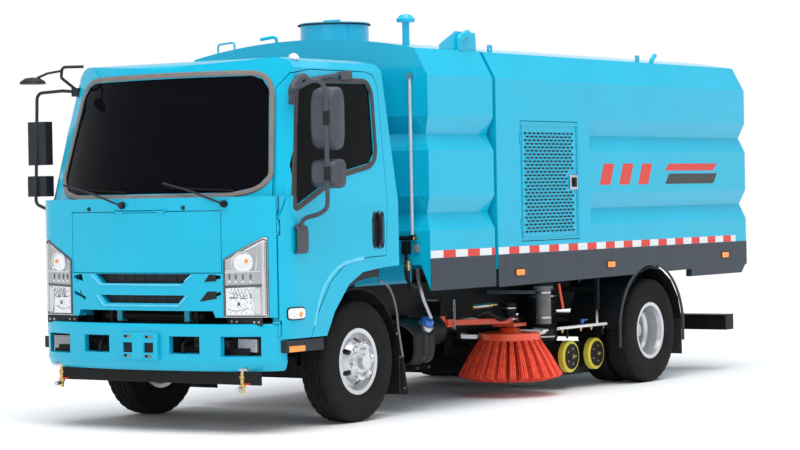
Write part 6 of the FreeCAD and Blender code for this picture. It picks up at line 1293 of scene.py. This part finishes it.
def rear_parts():
    """Tail lamps, tailgate latches, reflective tape and the blank plate."""
    for word, side in SIDES:
        housing = Piece(f"tail_housing_{word}", "chassis", BLACK)
        housing.box((0.560, 0.890), (3.180, 3.210), (0.345, 0.435))
        housing.finish(bevel=0.006, segments=3, side=side)
        for name, mat, a, b in TAIL_LENSES:
            lens = Piece(f"tail_{name}_{word}", "chassis", mat)
            lens.box((a, b), (3.209, 3.216), (0.352, 0.428))
            for k in range(5):
                lens.box((a + 0.006, b - 0.006), (3.215, 3.2175), (0.362 + 0.013 * k, 0.367 + 0.013 * k))
            lens.finish(bevel=0.0015, side=side)
        latch = Piece(f"gate_latch_{word}", "tailgate", ZINC)
        latch.tube([(0.780 * side, 3.290, 1.12), (0.780 * side, 3.290, 1.42)], 0.011, 12, 1)
        latch.box((0.755 * side, 0.805 * side), (3.278, 3.300), (1.10, 1.15))
        latch.box((0.760 * side, 0.800 * side), (3.278, 3.298), (1.38, 1.42))
        latch.finish(bevel=0.003)
    for tone, mat in TAPE_TONES:
        piece = Piece(f"gate_tape_{tone}", "tailgate", mat)
        for a, b, colour in blocks_of(-0.90, 0.90, 0.15):
            if colour == tone:
                y = REAR.cast((a + b) / 2, 1.045)[0].y
                piece.box((a + 0.001, b), (y, y + 0.0015), (1.022, 1.072))
        piece.finish()
    plate = Piece("rear_plate", "chassis", ALLOY)
    plate.box((-0.22, 0.22), (3.186, 3.190), (0.345, 0.455))
    plate.finish(bevel=0.001)


rear_parts()

# ---------------------------------------------------------------- stage

def add_object(name, data):
    obj = bpy.data.objects.new(name, data)
    bpy.context.scene.collection.objects.link(obj)
    return obj


def area(name, at, look, size, power):
    """A soft rectangular light that faces a point."""
    data = bpy.data.lights.new(name, "AREA")
    data.shape = "RECTANGLE"
    data.size, data.size_y = size
    data.energy = power
    lamp = add_object(name, data)
    lamp.location = at
    lamp.rotation_euler = (Vector(look) - Vector(at)).to_track_quat("-Z", "Y").to_euler()


floor_mesh = bmesh.new()
bmesh.ops.create_grid(floor_mesh, x_segments=1, y_segments=1, size=60)
floor_data = bpy.data.meshes.new("floor")
floor_mesh.to_mesh(floor_data)
floor_mesh.free()
FLOOR = material("floor_pale", (0.93, 0.93, 0.935), 0.7, vary=0.01, scale=1.0, rough_vary=0.05)
floor_data.materials.append(FLOOR)
add_object("floor", floor_data)

world = bpy.data.worlds.new("studio")
bpy.context.scene.world = world
world.use_nodes = True
sky, wires = world.node_tree.nodes, world.node_tree.links
ways = sky.new("ShaderNodeTexCoord")
heights = sky.new("ShaderNodeSeparateXYZ")
shade = sky.new("ShaderNodeValToRGB")
low, high = shade.color_ramp.elements
low.position, low.color = 0.16, (1.0, 1.0, 1.0, 1)
high.position, high.color = 0.42, (0.42, 0.44, 0.46, 1)
wires.new(ways.outputs["Generated"], heights.inputs["Vector"])
wires.new(heights.outputs["Z"], shade.inputs["Fac"])
wires.new(shade.outputs["Color"], sky["Background"].inputs["Color"])
sky["Background"].inputs["Strength"].default_value = 1.0
sun_data = bpy.data.lights.new("sky", "SUN")
sun_data.energy, sun_data.angle = 2.3, math.radians(50)
add_object("sky", sun_data).rotation_euler = (math.radians(12), math.radians(14), 0)
area("key", (7, -6, 8), (0, 0, 1.2), (6, 6), 120)
area("top", (0, 0, 7.5), (0, 0, 0), (6, 10), 160)
area("front", (1.5, -11, 3.5), (0, -2, 1.3), (5, 3), 30)

camera_data = bpy.data.cameras.new("camera")
camera_data.sensor_width = 36
camera_data.sensor_fit = "HORIZONTAL"
camera_data.lens = 114.955
camera_data.clip_end = 200
camera = add_object("camera", camera_data)
right = Vector((0.82701358, 0.56188658, -0.01822116))
up = Vector((0.0081943, 0.02035992, 0.99975913))
back = Vector((0.56212222, -0.82696369, 0.01223367))
turn = Matrix((right, up, back)).transposed()
camera.matrix_world = Matrix.Translation((10.6545, -15.9461, 1.5050)) @ turn.to_4x4()
bpy.context.scene.camera = camera
bpy.context.scene.view_settings.view_transform = "Standard"
